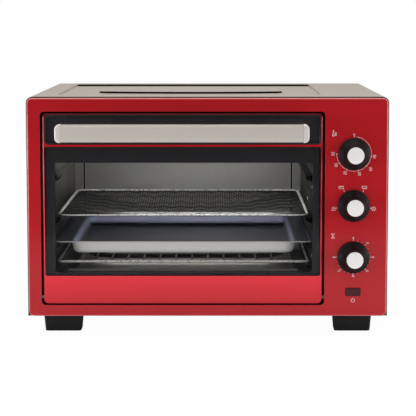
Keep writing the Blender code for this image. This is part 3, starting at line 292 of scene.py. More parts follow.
def softened(node, name, finish, body, width, segments=2):
    """A merged copy of a CAD node: its facets shade as the round form they stand for, its edges are rounded."""
    mesh = nodes[node].data.copy()
    work = bmesh.new()
    work.from_mesh(mesh)
    bmesh.ops.remove_doubles(work, verts=work.verts, dist=0.002 * mm)
    bmesh.ops.join_triangles(work, faces=work.faces, angle_face_threshold=0.01, angle_shape_threshold=3.1)
    work.to_mesh(mesh)
    work.free()
    made = settle(name, mesh, finish, body, (node,))
    bevel = made.modifiers.new("edges", "BEVEL")
    bevel.width = width
    bevel.segments = segments
    bevel.limit_method = "ANGLE"
    bevel.angle_limit = np.radians(50)
    return flattened(made)


# %% [markdown]
# ## Wires, smooth profiles and rounded loops
# Three more helpers: one draws round wires along paths, one smooths a profile given by a few corners, and one lays
# points evenly round a rectangle with rounded corners, which is the plan of nearly all pressed ware.

# %% Wires, profiles and loops
def tubes(paths, radius, sides, closed=False):
    """Round wires along paths of (wires, points, 3): each ring is centre + radius (side cos a + top sin a), with
    `side` level and square to the path and `top` square to both. Open ends close on a ring of radius 0."""
    paths = np.asarray(paths, float)
    ahead = np.roll(paths, -1, 1) - np.roll(paths, 1, 1) if closed else np.gradient(paths, axis=1)
    ahead /= np.linalg.norm(ahead, axis=-1, keepdims=True)
    side = np.cross(ahead, (0, 0, 1))
    side /= np.linalg.norm(side, axis=-1, keepdims=True)
    top = np.cross(side, ahead)
    turn = np.linspace(0, 2 * np.pi, sides, endpoint=False)[:, None]
    ring = side[..., None, :] * np.cos(turn) + top[..., None, :] * np.sin(turn)
    ring *= np.broadcast_to(radius, paths.shape[:2])[..., None, None]
    points = paths[..., None, :] + ring
    if not closed:
        ends = [np.repeat(paths[:, [end], None], sides, axis=2) for end in (0, -1)]
        points = np.concatenate([ends[0], points, ends[1]], axis=1)
    wires, rows = points.shape[:2]
    one = quads(rows, sides, around=True, along=closed)
    return points, (one + (np.arange(wires) * rows * sides)[:, None, None]).reshape(-1, 4)


def eased(profile, times):
    """Chaikin's corner cutting: each pass puts two points at 1/4 and 3/4 of every stretch, and keeps the ends."""
    profile = np.asarray(profile, float)
    for _ in range(times):
        before, after = profile[:-1], profile[1:]
        cut = np.stack([0.75 * before + 0.25 * after, 0.25 * before + 0.75 * after], axis=1)
        cut = cut.reshape(-1, profile.shape[1])
        profile = np.concatenate([profile[:1], cut[1:-1], profile[-1:]])
    return profile


def loop_path(low, high, radius, z=0.0, steps=10, spacing=6 * mm, count=None):
    """Points round a level rounded rectangle, evenly spaced by their length along it, anticlockwise from above."""
    (x0, y0), (x1, y1) = low, high
    turn = np.linspace(0, np.pi / 2, steps)
    left, right, near, far = x0 + radius, x1 - radius, y0 + radius, y1 - radius
    corner = []
    for cx, cy, quarter in ((right, near, -1), (right, far, 0), (left, far, 1), (left, near, 2)):
        angle = turn + quarter * np.pi / 2
        corner.append(np.stack([cx + radius * np.cos(angle), cy + radius * np.sin(angle)], 1))
    line = np.concatenate([*corner, corner[0][:1]])
    length = np.concatenate([[0], np.cumsum(np.linalg.norm(np.diff(line, axis=0), axis=1))])
    at = np.linspace(0, length[-1], count or int(length[-1] / spacing), endpoint=False)
    x, y = (np.interp(at, length, line[:, column]) for column in (0, 1))
    return np.stack([x, y, np.full(len(at), z)], axis=1)


# %% [markdown]
# ## Baked red enamel
# The fascia and the door are pressed steel sprayed with glossy baking enamel. Sprayed paint dries with an orange
# peel of soft dimples a few millimetres apart, drawn here with a bump, under a clear coat that mirrors lamps.
# Three tones follow the photograph, and are placed by position. A pink line, a painted highlight, runs round
# each sheet where its face bends back. From 1.5 mm behind the face the colour falls to a deep brown red, a painted
# shade, so that the gaps read black. The red grows brighter from 340 mm above the floor down to 60 mm, a painted
# light towards the foot.

# %% Baked red enamel on steel
face_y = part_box("front_panel")[0][1]
red_enamel, tree, paint, where = material(
    "baked_red_enamel", "B0232D", 0.18, Specular_IOR_Level=0.2, Coat_Weight=0.2, Coat_Roughness=0.08
)
peel = add(tree, "TexNoise", where, Scale=1 / (3.5 * mm), Detail=2.0)
add(tree, "Bump", Height=peel, Strength=0.35, Distance=0.02 * mm, to=paint["Normal"])
cloud = add(tree, "TexNoise", where, Scale=1 / (120 * mm), Detail=1.0)
coat = add(tree, "Mix", cloud, "A2171D", "B11B22", data_type="RGBA")
axis = add(tree, "SeparateXYZ", where)
# painted light: the red brightens towards the foot
painted_foot_light = add(tree, "MapRange", axis.outputs["Z"], 60 * mm, 340 * mm, 0.3, 0.0)
tone = add(tree, "Mix", painted_foot_light, coat, "C9252F", data_type="RGBA")
# painted highlight: a pink line where the face bends back
rising = add(tree, "MapRange", axis.outputs["Y"], face_y + 0.1 * mm, face_y + 0.3 * mm, 0, 0.5)
falling = add(tree, "MapRange", axis.outputs["Y"], face_y + 1.1 * mm, face_y + 1.5 * mm, 0.5, 0)
painted_rim_highlight = add(tree, "Math", rising, falling, operation="MINIMUM")
rim = add(tree, "Mix", painted_rim_highlight, tone, "E9A0A0", data_type="RGBA")
# painted shade: deep brown red from 1.5 mm behind the face, so the gaps read black
flank = add(tree, "MapRange", axis.outputs["Y"], face_y + 1.5 * mm, face_y + 2.5 * mm, 0, 1)
add(tree, "Mix", flank, rim, "160405", data_type="RGBA", to=paint["Base Color"])

# %% [markdown]
# ## The door's own coat
# In the photograph the door's lower band is brighter than the fascia, perhaps because it leans a little upwards.
# The door has a copy of the red whose tone swells between 46 and 84 mm above the floor and fades towards 270 mm,
# as painted light. From 318 mm up, where its top edge folds back over the recess, it is nearly black, a painted
# shade, as it is there.

# %% The door's own coat
door_enamel = red_enamel.copy()
door_enamel.name = "baked_red_enamel_door"
tree = door_enamel.node_tree
height = tree.nodes[axis.name].outputs["Z"]
# painted light: the lower band's tone swells and fades
painted_band_light = add(tree, "MapRange", height, 46 * mm, 84 * mm, 0.45, 1.0)
upper = add(tree, "MapRange", height, 120 * mm, 270 * mm, 1.0, 0.0)
both = add(tree, "Math", painted_band_light, upper, operation="MINIMUM")
tree.links.new(both.outputs[0], tree.nodes[tone.name].inputs["Factor"])
# the tone's bright colour is the band's painted light
mixed_colours = [socket for socket in tree.nodes[tone.name].inputs if socket.enabled]
mixed_colours[2].default_value = linear("E4303C")
# a darker pink for the door's painted rim highlight
rim_highlight_colours = [socket for socket in tree.nodes[rim.name].inputs if socket.enabled]
rim_highlight_colours[2].default_value = linear("A82730")
painted = tree.nodes["Principled BSDF"].inputs["Base Color"]
# painted shade: nearly black where the top edge folds back
painted_fold_shade = add(tree, "MapRange", height, 318 * mm, 321 * mm, 0, 0.8)
add(tree, "Mix", painted_fold_shade, painted.links[0].from_socket, "2A0507", data_type="RGBA", to=painted)
print("enamels:", red_enamel.name, door_enamel.name)

# %% [markdown]
# ## Warm grey metallic paint
# The wrap-around cover and the back are coil-coated in a warm grey with aluminium flakes. The flakes, drawn as
# 0.8 mm cells so that they show, differ a little in tone and gloss. In the photograph the steep front walls of
# the pressed panels are nearly black, and here that dark is a painted shade on them. They are found from the
# surface's own normal, and the hem over the fascia, which has the same painted shade, from its place.

# %% Warm grey metallic paint
grey_paint, tree, paint, where = material(
    "warm_grey_metallic_paint", "B9AEA3", 0.4, 0.85, Specular_Tint=(0.6, 0.6, 0.6, 1)
)
flake = add(tree, "TexVoronoi", where, Scale=1 / (0.8 * mm))
add(tree, "MapRange", flake.outputs["Distance"], 0, 1, 0.36, 0.48, to=paint["Roughness"])
grain = add(tree, "SeparateColor", flake.outputs["Color"]).outputs[0]
coat = add(tree, "Mix", grain, "ABA095", "BAAFA4", data_type="RGBA")
facing = add(tree, "SeparateXYZ", add(tree, "TexCoord").outputs["Normal"]).outputs["Y"]
# painted shade on the steep walls that face the front
steep = add(tree, "MapRange", facing, -0.2, -0.5, 0, 1)
place = add(tree, "SeparateXYZ", where)
# painted shade along the cover's top front edge over the fascia
folded = add(tree, "MapRange", place.outputs["Y"], -176 * mm, -178 * mm, 0, 1)
on_top = add(tree, "MapRange", place.outputs["Z"], 338 * mm, 343 * mm, 0, 1)
painted_front_shade = add(tree, "Math", folded, on_top, operation="MINIMUM")
painted_wall_shade = add(tree, "Math", steep, painted_front_shade, operation="MAXIMUM")
add(tree, "Mix", painted_wall_shade, coat, "0C0B0A", data_type="RGBA", to=paint["Base Color"])

# %% [markdown]
# ## The cover's cut edge
# The coil is painted before it is cut, so its cut edges are bare steel. Their dark brown is a painted shade,
# which makes the cover's front edge show as a thin dark line above the fascia. Fine noise stands for the burr.

# %% Cut edge of the painted cover
cut_edge_and_shade, tree, paint, where = material("cut_edge_with_painted_shade", "2A2725", 0.6)
burr = add(tree, "TexNoise", where, Scale=1 / (0.6 * mm))
add(tree, "Mix", burr, "141211", "3A3633", data_type="RGBA", to=paint["Base Color"])

# %% [markdown]
# ## Galvanised sheet
# Brackets, the base and the fans' cans are hot-dip galvanised. Zinc freezes in flat crystals, the spangle, each
# about 6 mm across and each a slightly different grey, which a Voronoi texture's cells give.

# %% Galvanised sheet
zinc, tree, paint, where = material("galvanised_sheet", "9A9C9A", 0.42, 0.9)
spangle = add(tree, "TexVoronoi", where, Scale=1 / (6 * mm))
crystal = add(tree, "SeparateColor", spangle.outputs["Color"])
add(tree, "Mix", crystal.outputs[0], "8B8D8C", "AAACAA", data_type="RGBA", to=paint["Base Color"])
add(tree, "MapRange", crystal.outputs[1], 0, 1, 0.34, 0.5, to=paint["Roughness"])

# %% [markdown]
# ## Aluminised steel liner
# The cooking space is lined with steel dipped in aluminium. Rolling leaves fine streaks along the sheet, and heat
# and cleaning leave a blotchy tone. Streaks are noise squeezed to 0.7 mm up and down and stretched along. Low
# down and near the mouth the photograph shows it nearly black, so there the tone falls with z and with y, a
# painted shade.

# %% Aluminised steel liner
liner_steel, tree, paint, where = material("aluminised_steel_liner", "93918D", 0.36, 0.95)
drawn = add(tree, "Mapping", where, Scale=(1, 1, 40))
streak = add(tree, "TexNoise", drawn, Scale=1 / (30 * mm), Detail=3.0)
add(tree, "MapRange", streak, 0.3, 0.7, 0.3, 0.44, to=paint["Roughness"])
stain = add(tree, "TexNoise", where, Scale=1 / (45 * mm), Detail=4.0)
soiled = add(tree, "MapRange", stain, 0.35, 0.7, 0, 1)
clean = add(tree, "Mix", soiled, "9A9894", "85827D", data_type="RGBA")
place = add(tree, "SeparateXYZ", where)
# painted shade: nearly black low down and near the mouth
low_down = add(tree, "MapRange", place.outputs["Z"], 215 * mm, 150 * mm, 0, 0.9)
near_mouth = add(tree, "MapRange", place.outputs["Y"], -118 * mm, -150 * mm, 0, 0.92)
painted_cavity_shade = add(tree, "Math", low_down, near_mouth, operation="MAXIMUM")
add(tree, "Mix", painted_cavity_shade, clean, "1C1B1A", data_type="RGBA", to=paint["Base Color"])

# %% [markdown]
# ## Grooved back wall
# The back wall is the same sheet with two upright grooves near its sides. A painted shade makes them read as
# black lines. Their places come from the wall's own box: dark where the distance to the nearer groove is under
# 1.3 mm, and from there to 2.6 mm pale, a painted highlight as on an edge that catches the light.

# %% Back wall of the liner
low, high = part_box("cavity_back_wall")
wall_middle = (low[0] + high[0]) / 2
groove_x = (high[0] - low[0]) / 2 - 16.1 * mm
back_steel, tree, paint, where = material("grooved_aluminised_steel", "A3A19D", 0.4, 0.8)
aside = add(tree, "Math", add(tree, "SeparateXYZ", where).outputs["X"], wall_middle, operation="SUBTRACT")
off = add(tree, "Math", add(tree, "Math", aside, operation="ABSOLUTE"), groove_x, operation="SUBTRACT")
off = add(tree, "Math", off, operation="ABSOLUTE")
drawn = add(tree, "Mapping", where, Scale=(40, 1, 1))
streak = add(tree, "TexNoise", drawn, Scale=1 / (30 * mm), Detail=3.0)
plain = add(tree, "Mix", streak, "AAA8A6", "9B9896", data_type="RGBA")
# painted highlight beside each groove
lit = add(tree, "MapRange", off, 1.6 * mm, 2.6 * mm, 1, 0)
edged = add(tree, "Mix", lit, plain, "E0DFDC", data_type="RGBA")
# painted shade in each groove
painted_groove_shade = add(tree, "MapRange", off, 1.3 * mm, 1.6 * mm, 1, 0)
add(tree, "Mix", painted_groove_shade, edged, "050505", data_type="RGBA", to=paint["Base Color"])

# %% [markdown]
# ## The liner's right wall
# The right wall hides the convection fan. The CAD model has its real holes, in a round area before the fan. The
# marks that the photograph shows over more of the wall are drawn as dark dots 9 mm apart: y and z are counted in
# pitches, and a point is inside a dot where its distance to the nearest centre is under a third of a pitch.
# Towards the mouth the wall gets darker, as it does in the photograph. That darkening and the wall's tone, far
# darker than the rest of the liner, are painted shade.

# %% Right wall of the liner
side_steel, tree, paint, where = material("dimpled_aluminised_steel", "77756F", 0.55, 0.3, Specular_IOR_Level=0.25)
place = add(tree, "SeparateXYZ", where)
dot_pitch = 9 * mm
spot = []
for axis_name in ("Y", "Z"):
    cells = add(tree, "Math", place.outputs[axis_name], 1 / dot_pitch, operation="MULTIPLY")
    share = add(tree, "Math", add(tree, "Math", cells, operation="FRACT"), 0.5, operation="SUBTRACT")
    spot.append(add(tree, "Math", share, 2.0, operation="POWER"))
far_off = add(tree, "Math", add(tree, "Math", *spot, operation="ADD"), operation="SQRT")
punched = add(tree, "MapRange", far_off, 0.3, 0.36, 1, 0)
inside_y = add(tree, "MapRange", place.outputs["Y"], -150 * mm, -140 * mm, 0, 1)
inside_z = add(tree, "MapRange", place.outputs["Z"], 118 * mm, 124 * mm, 0, 1)
zone = add(tree, "Math", add(tree, "Math", inside_y, inside_z, operation="MULTIPLY"), punched, operation="MULTIPLY")
stain = add(tree, "TexNoise", where, Scale=1 / (45 * mm), Detail=4.0)
# painted shade: the wall's tone is kept far darker than the other walls'
clean = add(tree, "Mix", stain, "3A3836", "55534F", data_type="RGBA")
# painted shade towards the mouth
near_mouth = add(tree, "MapRange", place.outputs["Y"], -100 * mm, -150 * mm, 0.2, 0.9)
plain = add(tree, "Mix", near_mouth, clean, "0C0C0B", data_type="RGBA")
add(tree, "Mix", zone, plain, "030303", data_type="RGBA", to=paint["Base Color"])
print("dots", dot_pitch / mm, "mm apart")

# %% [markdown]
# ## Bright chrome plate
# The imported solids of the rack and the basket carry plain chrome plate, until finer wires stand in for them. A
# noise in the roughness keeps the mirror from looking perfect.

# %% Bright chrome plate
chrome, tree, paint, where = material("bright_chrome_plate", "8E8C89", 0.16, 1.0)
haze = add(tree, "TexNoise", where, Scale=1 / (5 * mm), Detail=3.0)
add(tree, "MapRange", haze, 0.3, 0.7, 0.1, 0.24, to=paint["Roughness"])

# %% [markdown]
# ## Frame wire
# The basket's rim and the rack's frame are thicker wire with a bright zinc plating. It is paler and softer than
# chrome, so less of it is metal to the shader, and a noise varies its gloss.

# %% Zinc-plated frame wire
plated, tree, paint, where = material("zinc_plated_frame_wire", "F0EEEA", 0.3, 0.45)
haze = add(tree, "TexNoise", where, Scale=1 / (5 * mm), Detail=3.0)
add(tree, "MapRange", haze, 0.3, 0.7, 0.22, 0.38, to=paint["Roughness"])
add(tree, "Mix", haze, "E2E0DC", "F8F6F2", data_type="RGBA", to=paint["Base Color"])

# %% [markdown]
# ## Mesh wire
# The basket's mesh is thin wire that heat has tarnished. The rack's rods take the same dark finish, there a
# painted shade. Patches of two greys about 14 mm wide keep them from looking like one sheet.

# %% Darkened mesh wire
tarnished_and_rod_shade_wire, tree, paint, where = material("oxidised_wire_and_rod_shade", "3A3A39", 0.26, 0.8)
tarnish = add(tree, "TexNoise", where, Scale=1 / (14 * mm), Detail=4.0)
add(tree, "Mix", tarnish, "2C2C2C", "7A7977", data_type="RGBA", to=paint["Base Color"])

# %% [markdown]
# ## Pan
# The pan is pressed from bright aluminised sheet. Its inside is sprayed with non-stick coating, a dark blue grey
# film full of 0.6 mm mineral specks, and its outside stays bare and faintly marked by the press. In the
# photograph the floor and the brim are dark and the upright wall is pale, so the film's tone goes by height, as
# painted light and shade.

# %% The pan's two sides
nonstick, tree, paint, where = material("nonstick_coating", "4A4E58", 0.3, 0.1, Specular_IOR_Level=0.3)
speck = add(tree, "TexVoronoi", where, Scale=1 / (1.6 * mm))
spot = add(tree, "MapRange", speck.outputs["Distance"], 0.12, 0.2, 1, 0)
height = add(tree, "SeparateXYZ", where).outputs["Z"]
# painted light and shade: dark floor and brim, pale upright wall
above_floor = add(tree, "MapRange", height, 115.5 * mm, 121 * mm, 0, 1)
below_brim = add(tree, "MapRange", height, 126 * mm, 129.5 * mm, 1, 0.1)
wall_share = add(tree, "Math", above_floor, below_brim, operation="MINIMUM")
film_light_and_shade = add(tree, "Mix", wall_share, "111317", "A3AAC6", data_type="RGBA")
add(tree, "Mix", spot, film_light_and_shade, "4C4F58", data_type="RGBA", to=paint["Base Color"])
film = add(tree, "TexNoise", where, Scale=1 / (1.2 * mm))
add(tree, "Bump", Height=film, Strength=0.4, Distance=0.02 * mm, to=paint["Normal"])
bright_steel, tree, paint, where = material("bright_aluminised_pan_sheet", "FBFBF8", 0.45, 0.05)
pressed_marks = add(tree, "TexNoise", add(tree, "Mapping", where, Scale=(1, 1, 12)), Scale=1 / (20 * mm), Detail=3.0)
add(tree, "MapRange", pressed_marks, 0.3, 0.7, 0.38, 0.52, to=paint["Roughness"])

# %% [markdown]
# ## Crumb tray
# The tray is the same sheet as the pan's outside, but duller from use. A copy with a darker base is enough.

# %% The crumb tray's sheet
tray_steel = bright_steel.copy()
tray_steel.name = "dull_aluminised_tray_sheet"
paint = tray_steel.node_tree.nodes["Principled BSDF"].inputs
paint["Base Color"].default_value = linear("7E7B77")
paint["Metallic"].default_value = 0.3
print("tray:", tray_steel.name)

# %% [markdown]
# ## Brushed steel of the handle
# The bar is brushed along its length, so its scratches are noise stretched a hundred times along x and 0.3 mm
# apart. They tilt the surface a little, which spreads highlights across the bar. Its upper and lower edges, found
# from the surface's own normal, are darker, as in the photograph, a painted shade.

# %% Brushed steel
satin, tree, paint, where = material("brushed_stainless_steel", "E2D9D1", 0.4, 0.5)
brushed = add(tree, "Mapping", where, Scale=(1, 100, 100))
scratch = add(tree, "TexNoise", brushed, Scale=1 / (30 * mm), Detail=4.0)
add(tree, "Bump", Height=scratch, Strength=0.3, Distance=0.02 * mm, to=paint["Normal"])
sheen_tone = add(tree, "Mix", scratch, "DAD1C9", "EAE1D9", data_type="RGBA")
facing = add(tree, "SeparateXYZ", add(tree, "TexCoord").outputs["Normal"])
# painted shade on the upper and lower edges
leaning = add(tree, "Math", facing.outputs["Z"], operation="ABSOLUTE")
painted_edge_shade = add(tree, "MapRange", leaning, 0.15, 0.8, 0, 1)
add(tree, "Mix", painted_edge_shade, sheen_tone, "8A837C", data_type="RGBA", to=paint["Base Color"])

# %% [markdown]
# ## End caps
# The posts that hold the handle are zinc castings, buffed by hand. Their polish varies in patches of 4 mm.

# %% Polished end caps
polished, tree, paint, where = material("polished_zinc_casting", "EFEAE6", 0.3, 0.45)
buffed = add(tree, "TexNoise", where, Scale=1 / (4 * mm), Detail=3.0)
add(tree, "MapRange", buffed, 0.3, 0.7, 0.32, 0.4, to=paint["Roughness"])

# %% [markdown]
# ## Spun caps
# Each knob's cap is aluminium, faced on a lathe and anodised. The tool leaves fine rings, drawn here 0.8 mm apart
# from an attribute that stores each point's distance to the knob's axis: height = sin(2 pi r / pitch).

# %% Spun aluminium
spun, tree, paint, _ = material("spun_anodised_aluminium", "F6F3F0", 0.42, 0.25)
radius = add(tree, "Attribute", attribute_name="radius").outputs["Fac"]
ring_pitch = 0.8 * mm
phase = add(tree, "Math", radius, 2 * np.pi / ring_pitch, operation="MULTIPLY")
rings_height = add(tree, "Math", phase, operation="SINE")
add(tree, "Bump", Height=rings_height, Strength=0.25, Distance=0.02 * mm, to=paint["Normal"])
tone = add(tree, "MapRange", rings_height, -1, 1, 0, 1)
add(tree, "Mix", tone, "EFEBE8", "FBF9F7", data_type="RGBA", to=paint["Base Color"])

# %% [markdown]
# ## Black mouldings
# Knobs, the handle's recess and the fan are phenolic and nylon, moulded against spark-eroded steel. That gives a
# fine matt grain, about 0.5 mm, as a shallow bump, and a gloss that varies with it.

# %% Moulded plastics
black_plastic, tree, paint, where = material("moulded_black_phenolic", "0D0C0E", 0.42, Specular_IOR_Level=0.2)
erosion = add(tree, "TexNoise", where, Scale=1 / (0.5 * mm), Detail=2.0)
add(tree, "Bump", Height=erosion, Strength=0.5, Distance=0.02 * mm, to=paint["Normal"])
add(tree, "MapRange", erosion, 0.3, 0.7, 0.36, 0.48, to=paint["Roughness"])
recess_plastic, tree, paint, where = material("polished_black_moulding", "222225", 0.25)
flow = add(tree, "TexNoise", where, Scale=1 / (30 * mm), Detail=2.0)
add(tree, "Mix", flow, "1E1E21", "2A2A2E", data_type="RGBA", to=paint["Base Color"])
foot_nylon, tree, paint, where = material("moulded_black_nylon", "0B0A0C", 0.5, Specular_IOR_Level=0.3)
erosion = add(tree, "TexNoise", where, Scale=1 / (0.8 * mm), Detail=3.0)
add(tree, "Bump", Height=erosion, Strength=0.6, Distance=0.04 * mm, to=paint["Normal"])
add(tree, "Mix", erosion, "080708", "121113", data_type="RGBA", to=paint["Base Color"])

# %% [markdown]
# ## Glass and its black border
# The window is toughened glass. A printed ceramic border, fired on before toughening, hides the door's frame.
# Clear glass is mostly see-through, so its alpha is low, and its own faint film is dark, not milky. The lamp's
# lens is ribbed every 2.2 mm, and its ribs are drawn by a sine across it, in height and in tone; the lighter tone
# on their crests is a painted highlight.

# %% Glass, border and lens
clear_glass, tree, paint, where = material("toughened_glass", "060808", 0.02, Alpha=0.12)
smear = add(tree, "TexNoise", where, Scale=1 / (60 * mm), Detail=3.0)
add(tree, "MapRange", smear, 0.4, 0.75, 0.02, 0.09, to=paint["Roughness"])
black_enamel, tree, paint, where = material("fired_black_ceramic_border", "222326", 0.38)
frit = add(tree, "TexNoise", where, Scale=1 / (0.9 * mm), Detail=2.0)
add(tree, "Mix", frit, "1F2023", "28292C", data_type="RGBA", to=paint["Base Color"])
lens_red, tree, paint, where = material("ribbed_red_polycarbonate", "5A1417", 0.16, Specular_IOR_Level=0.3)
across_lens = add(tree, "SeparateXYZ", where).outputs["X"]
rib_pitch = 2.2 * mm
phase = add(tree, "Math", across_lens, 2 * np.pi / rib_pitch, operation="MULTIPLY")
rib = add(tree, "Math", phase, operation="SINE")
add(tree, "Bump", Height=rib, Strength=0.6, Distance=0.08 * mm, to=paint["Normal"])
# painted highlight on the rib crests
lit = add(tree, "MapRange", rib, -1, 1, 0, 1)
add(tree, "Mix", lit, "26080A", "561417", data_type="RGBA", to=paint["Base Color"])

# %% [markdown]
# ## Working parts
# Heaters are steel tubes that have oxidised to a mottled blue black. The motor's core is a stack of steel
# laminations, drawn as stripes 1 mm wide across its axis. The print's white ink is worn in 0.7 mm spots.

# %% Heater sheath, motor steel and ink
sheath, tree, paint, where = material("oxidised_heater_sheath", "161617", 0.55, 0.3)
scale = add(tree, "TexNoise", where, Scale=1 / (9 * mm), Detail=4.0)
add(tree, "Mix", scale, "0C0C0D", "22201E", data_type="RGBA", to=paint["Base Color"])
motor_steel, tree, paint, where = material("laminated_motor_steel", "6C6E70", 0.5, 0.7)
lamination = 1.0 * mm
stack = add(tree, "Math", add(tree, "SeparateXYZ", where).outputs["X"], 1 / lamination, operation="MULTIPLY")
sheet_number = add(tree, "TexWhiteNoise", noise_dimensions="1D", W=add(tree, "Math", stack, operation="FLOOR"))
add(tree, "Mix", sheet_number, "5A5C5E", "7C7E80", data_type="RGBA", to=paint["Base Color"])
white_ink, tree, paint, where = material("white_screen_ink", "FBF2F2", 0.6)
worn = add(tree, "TexNoise", where, Scale=1 / (0.7 * mm), Detail=2.0)
add(tree, "Mix", worn, "EBD9DA", "FCF6F6", data_type="RGBA", to=paint["Base Color"])

# %% [markdown]
# ## Dressing the CAD nodes
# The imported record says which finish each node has. Nodes whose form is right as it is keep their mesh, and only
# their material slot changes.

# %% Dress the CAD nodes
finishes = {
    "red_paint": red_enamel,
    "warm_grey_paint": grey_paint,
    "galvanised_steel": zinc,
    "aluminised_steel": liner_steel,
    "element_sheath": sheath,
    "black_plastic": black_plastic,
    "black_enamel": black_enamel,
    "glass": clear_glass,
    "satin_steel": satin,
    "chrome_wire": chrome,
    "nonstick_coating": nonstick,
    "lens_red": lens_red,
    "motor_steel": motor_steel,
}
special = {
    "cavity_back_wall": back_steel,
    "cavity_right_wall": side_steel,
    "crumb_tray": tray_steel,
    "fan_housing": sheath,
    "convection_fan": sheath,
}
slot_of = {row["node"]: row["material_slot"] for row in frame["record"]["subparts"]}
for name, cad in nodes.items():
    for slot in cad.material_slots:
        slot.material = special.get(name, finishes[slot_of[name]])
print("dressed:", len(nodes))

# %% [markdown]
# ## The painted sheet
# The fascia, the door and the feet are right as the CAD model has them, but a CAD mesh is flat between its
# edges. A merged copy with rounded edges catches the thin highlights that show a fold in sheet metal.

# %% Softened copies of the painted and moulded parts
softened("front_panel", "fascia_sheet", red_enamel, "oven", 0.5 * mm)
softened("door_frame", "door_shell", door_enamel, "door", 0.4 * mm)
softened("handle_recess_panel", "recess_tub", recess_plastic, "door", 0.4 * mm)
softened("indicator_lens", "lamp_lens", lens_red, "oven", 0.3 * mm)
softened("rear_cover", "rear_sheet", grey_paint, "oven", 0.3 * mm)
for corner in ("front_left", "front_right", "rear_left", "rear_right"):
    softened("foot_" + corner, "moulded_foot_" + corner, foot_nylon, "oven", 0.8 * mm, 3)

# %% [markdown]
# ## The wrap-around cover
# One sheet goes up the left side, over the top and down the right side. Its top is pressed down 3 mm inside a
# round-cornered outline, and a panel in the middle of that rises again. The top is made of rings that all have
# as many points, placed so that the sides meet them and the vents fall between two columns.

# %% Rings of the cover's top
low, high = (np.array(corner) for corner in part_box("outer_cover"))
bend = 9 * mm
slot_y = -7 * mm + (np.arange(8) - 3.5) * 10 * mm
slot_edges = np.sort(np.concatenate([slot_y - 2 * mm, slot_y + 2 * mm]))
ends = np.linspace(0, 0.035, 8)
across = np.unique(np.concatenate([ends, np.linspace(0.035, 0.965, 40), 1 - ends]).round(6))
slot_shares = (slot_edges - low[1]) / (high[1] - low[1])
along = np.unique(np.concatenate([ends, np.linspace(0.035, 0.965, 14), 1 - ends, slot_shares]).round(6))


def ring(left, right, near, far, radius, bow=0.0):
    """A round-cornered outline with `across` points on its front and back and `along` points on its sides, each
    side measured from the middle of one corner to the middle of the next. Its front bows by 4 t (1 - t) bow."""
    sides = []
    for start, end, share in (
        ((left, near), (right, near), across),
        ((right, near), (right, far), along),
        ((right, far), (left, far), across),
        ((left, far), (left, near), along),
    ):
        start, end = np.array(start), np.array(end)
        length = np.linalg.norm(end - start)
        ahead = (end - start) / length
        inward = np.array([-ahead[1], ahead[0]])
        arc = radius * np.pi / 4
        total = length - 2 * radius + 2 * arc
        at = share * total
        first = np.clip((arc - at) / max(radius, 1e-9), 0, None)
        last = np.clip((at - total + arc) / max(radius, 1e-9), 0, None)
        flat = radius + np.clip(at, arc, total - arc) - arc
        forward = flat - radius * np.sin(first) + radius * np.sin(last)
        inside = radius * (1 - np.cos(first)) + radius * (1 - np.cos(last))
        sides.append((start + forward[:, None] * ahead + inside[:, None] * inward)[:-1])
    points = np.concatenate(sides)
    share = (points[:, 0] - left) / (right - left)
    front = np.arange(len(points)) < len(across) - 1
    points[:, 1] -= np.where(front, 4 * share * (1 - share) * bow, 0)
    return points


# %% [markdown]
# ## The pressed walls
# Between two levels the sheet falls or rises over an S-shaped wall, which is nine rings one inside the other.


# %% Pressed wall
def pressed(bounds, radius, bow, heights):
    """The S-shaped wall round an outline, ring by ring. Over 1.6 mm its height goes from the first to the second
    value as 1/2 + 3/4 s - 1/4 s cubed, with s from -1 outside to 1 inside."""
    left, right, near, far = bounds
    step = np.linspace(-1, 1, 9)
    rings = []
    for s in step:
        inset = s * 0.8 * mm
        outline = ring(left + inset, right - inset, near + inset, far - inset, radius - inset, bow)
        height = heights[0] + (heights[1] - heights[0]) * (0.5 + 0.75 * s - 0.25 * s**3)
        rings.append(np.column_stack([outline, np.full(len(outline), height)]))
    return rings


# %% [markdown]
# ## The cover's top
# From outside to inside come the sheet's straight edge, the wall down into the recess, the wall up to the raised
# panel, whose front bows forward 15 mm, and one point in its middle.

# %% Top of the cover
top = high[2]
drop = 3 * mm
recess = (low[0] + 40 * mm, high[0] - 95 * mm, fascia_y + 60 * mm, high[1] - 35 * mm)
island = (recess[0] + 54 * mm, recess[1] - 54 * mm, recess[2] + 92 * mm, recess[3] - 80 * mm)
edge = ring(low[0] + bend, high[0] - bend, low[1], high[1], 0)
rings = [np.column_stack([edge, np.full(len(edge), top)])]
rings += pressed(recess, 12 * mm, 0, (top, top - drop))
rings += pressed(island, 12 * mm, 15 * mm, (top - drop, top))
centre = np.array([(island[0] + island[1]) / 2, (island[2] + island[3]) / 2, top])
rings.append(np.repeat(centre[None], len(edge), axis=0))
rings = np.stack(rings)
n = rings.shape[1]
print("rings:", len(rings), "of", n, "points")

# %% [markdown]
# ## The cover's sides
# Each side is a grid that starts at the top's edge, goes round the bend and down to the base. The eight vents on
# the right are quads left out. A modifier then gives the sheet its thickness, and bare edges where it was cut,
# dark with a painted shade.

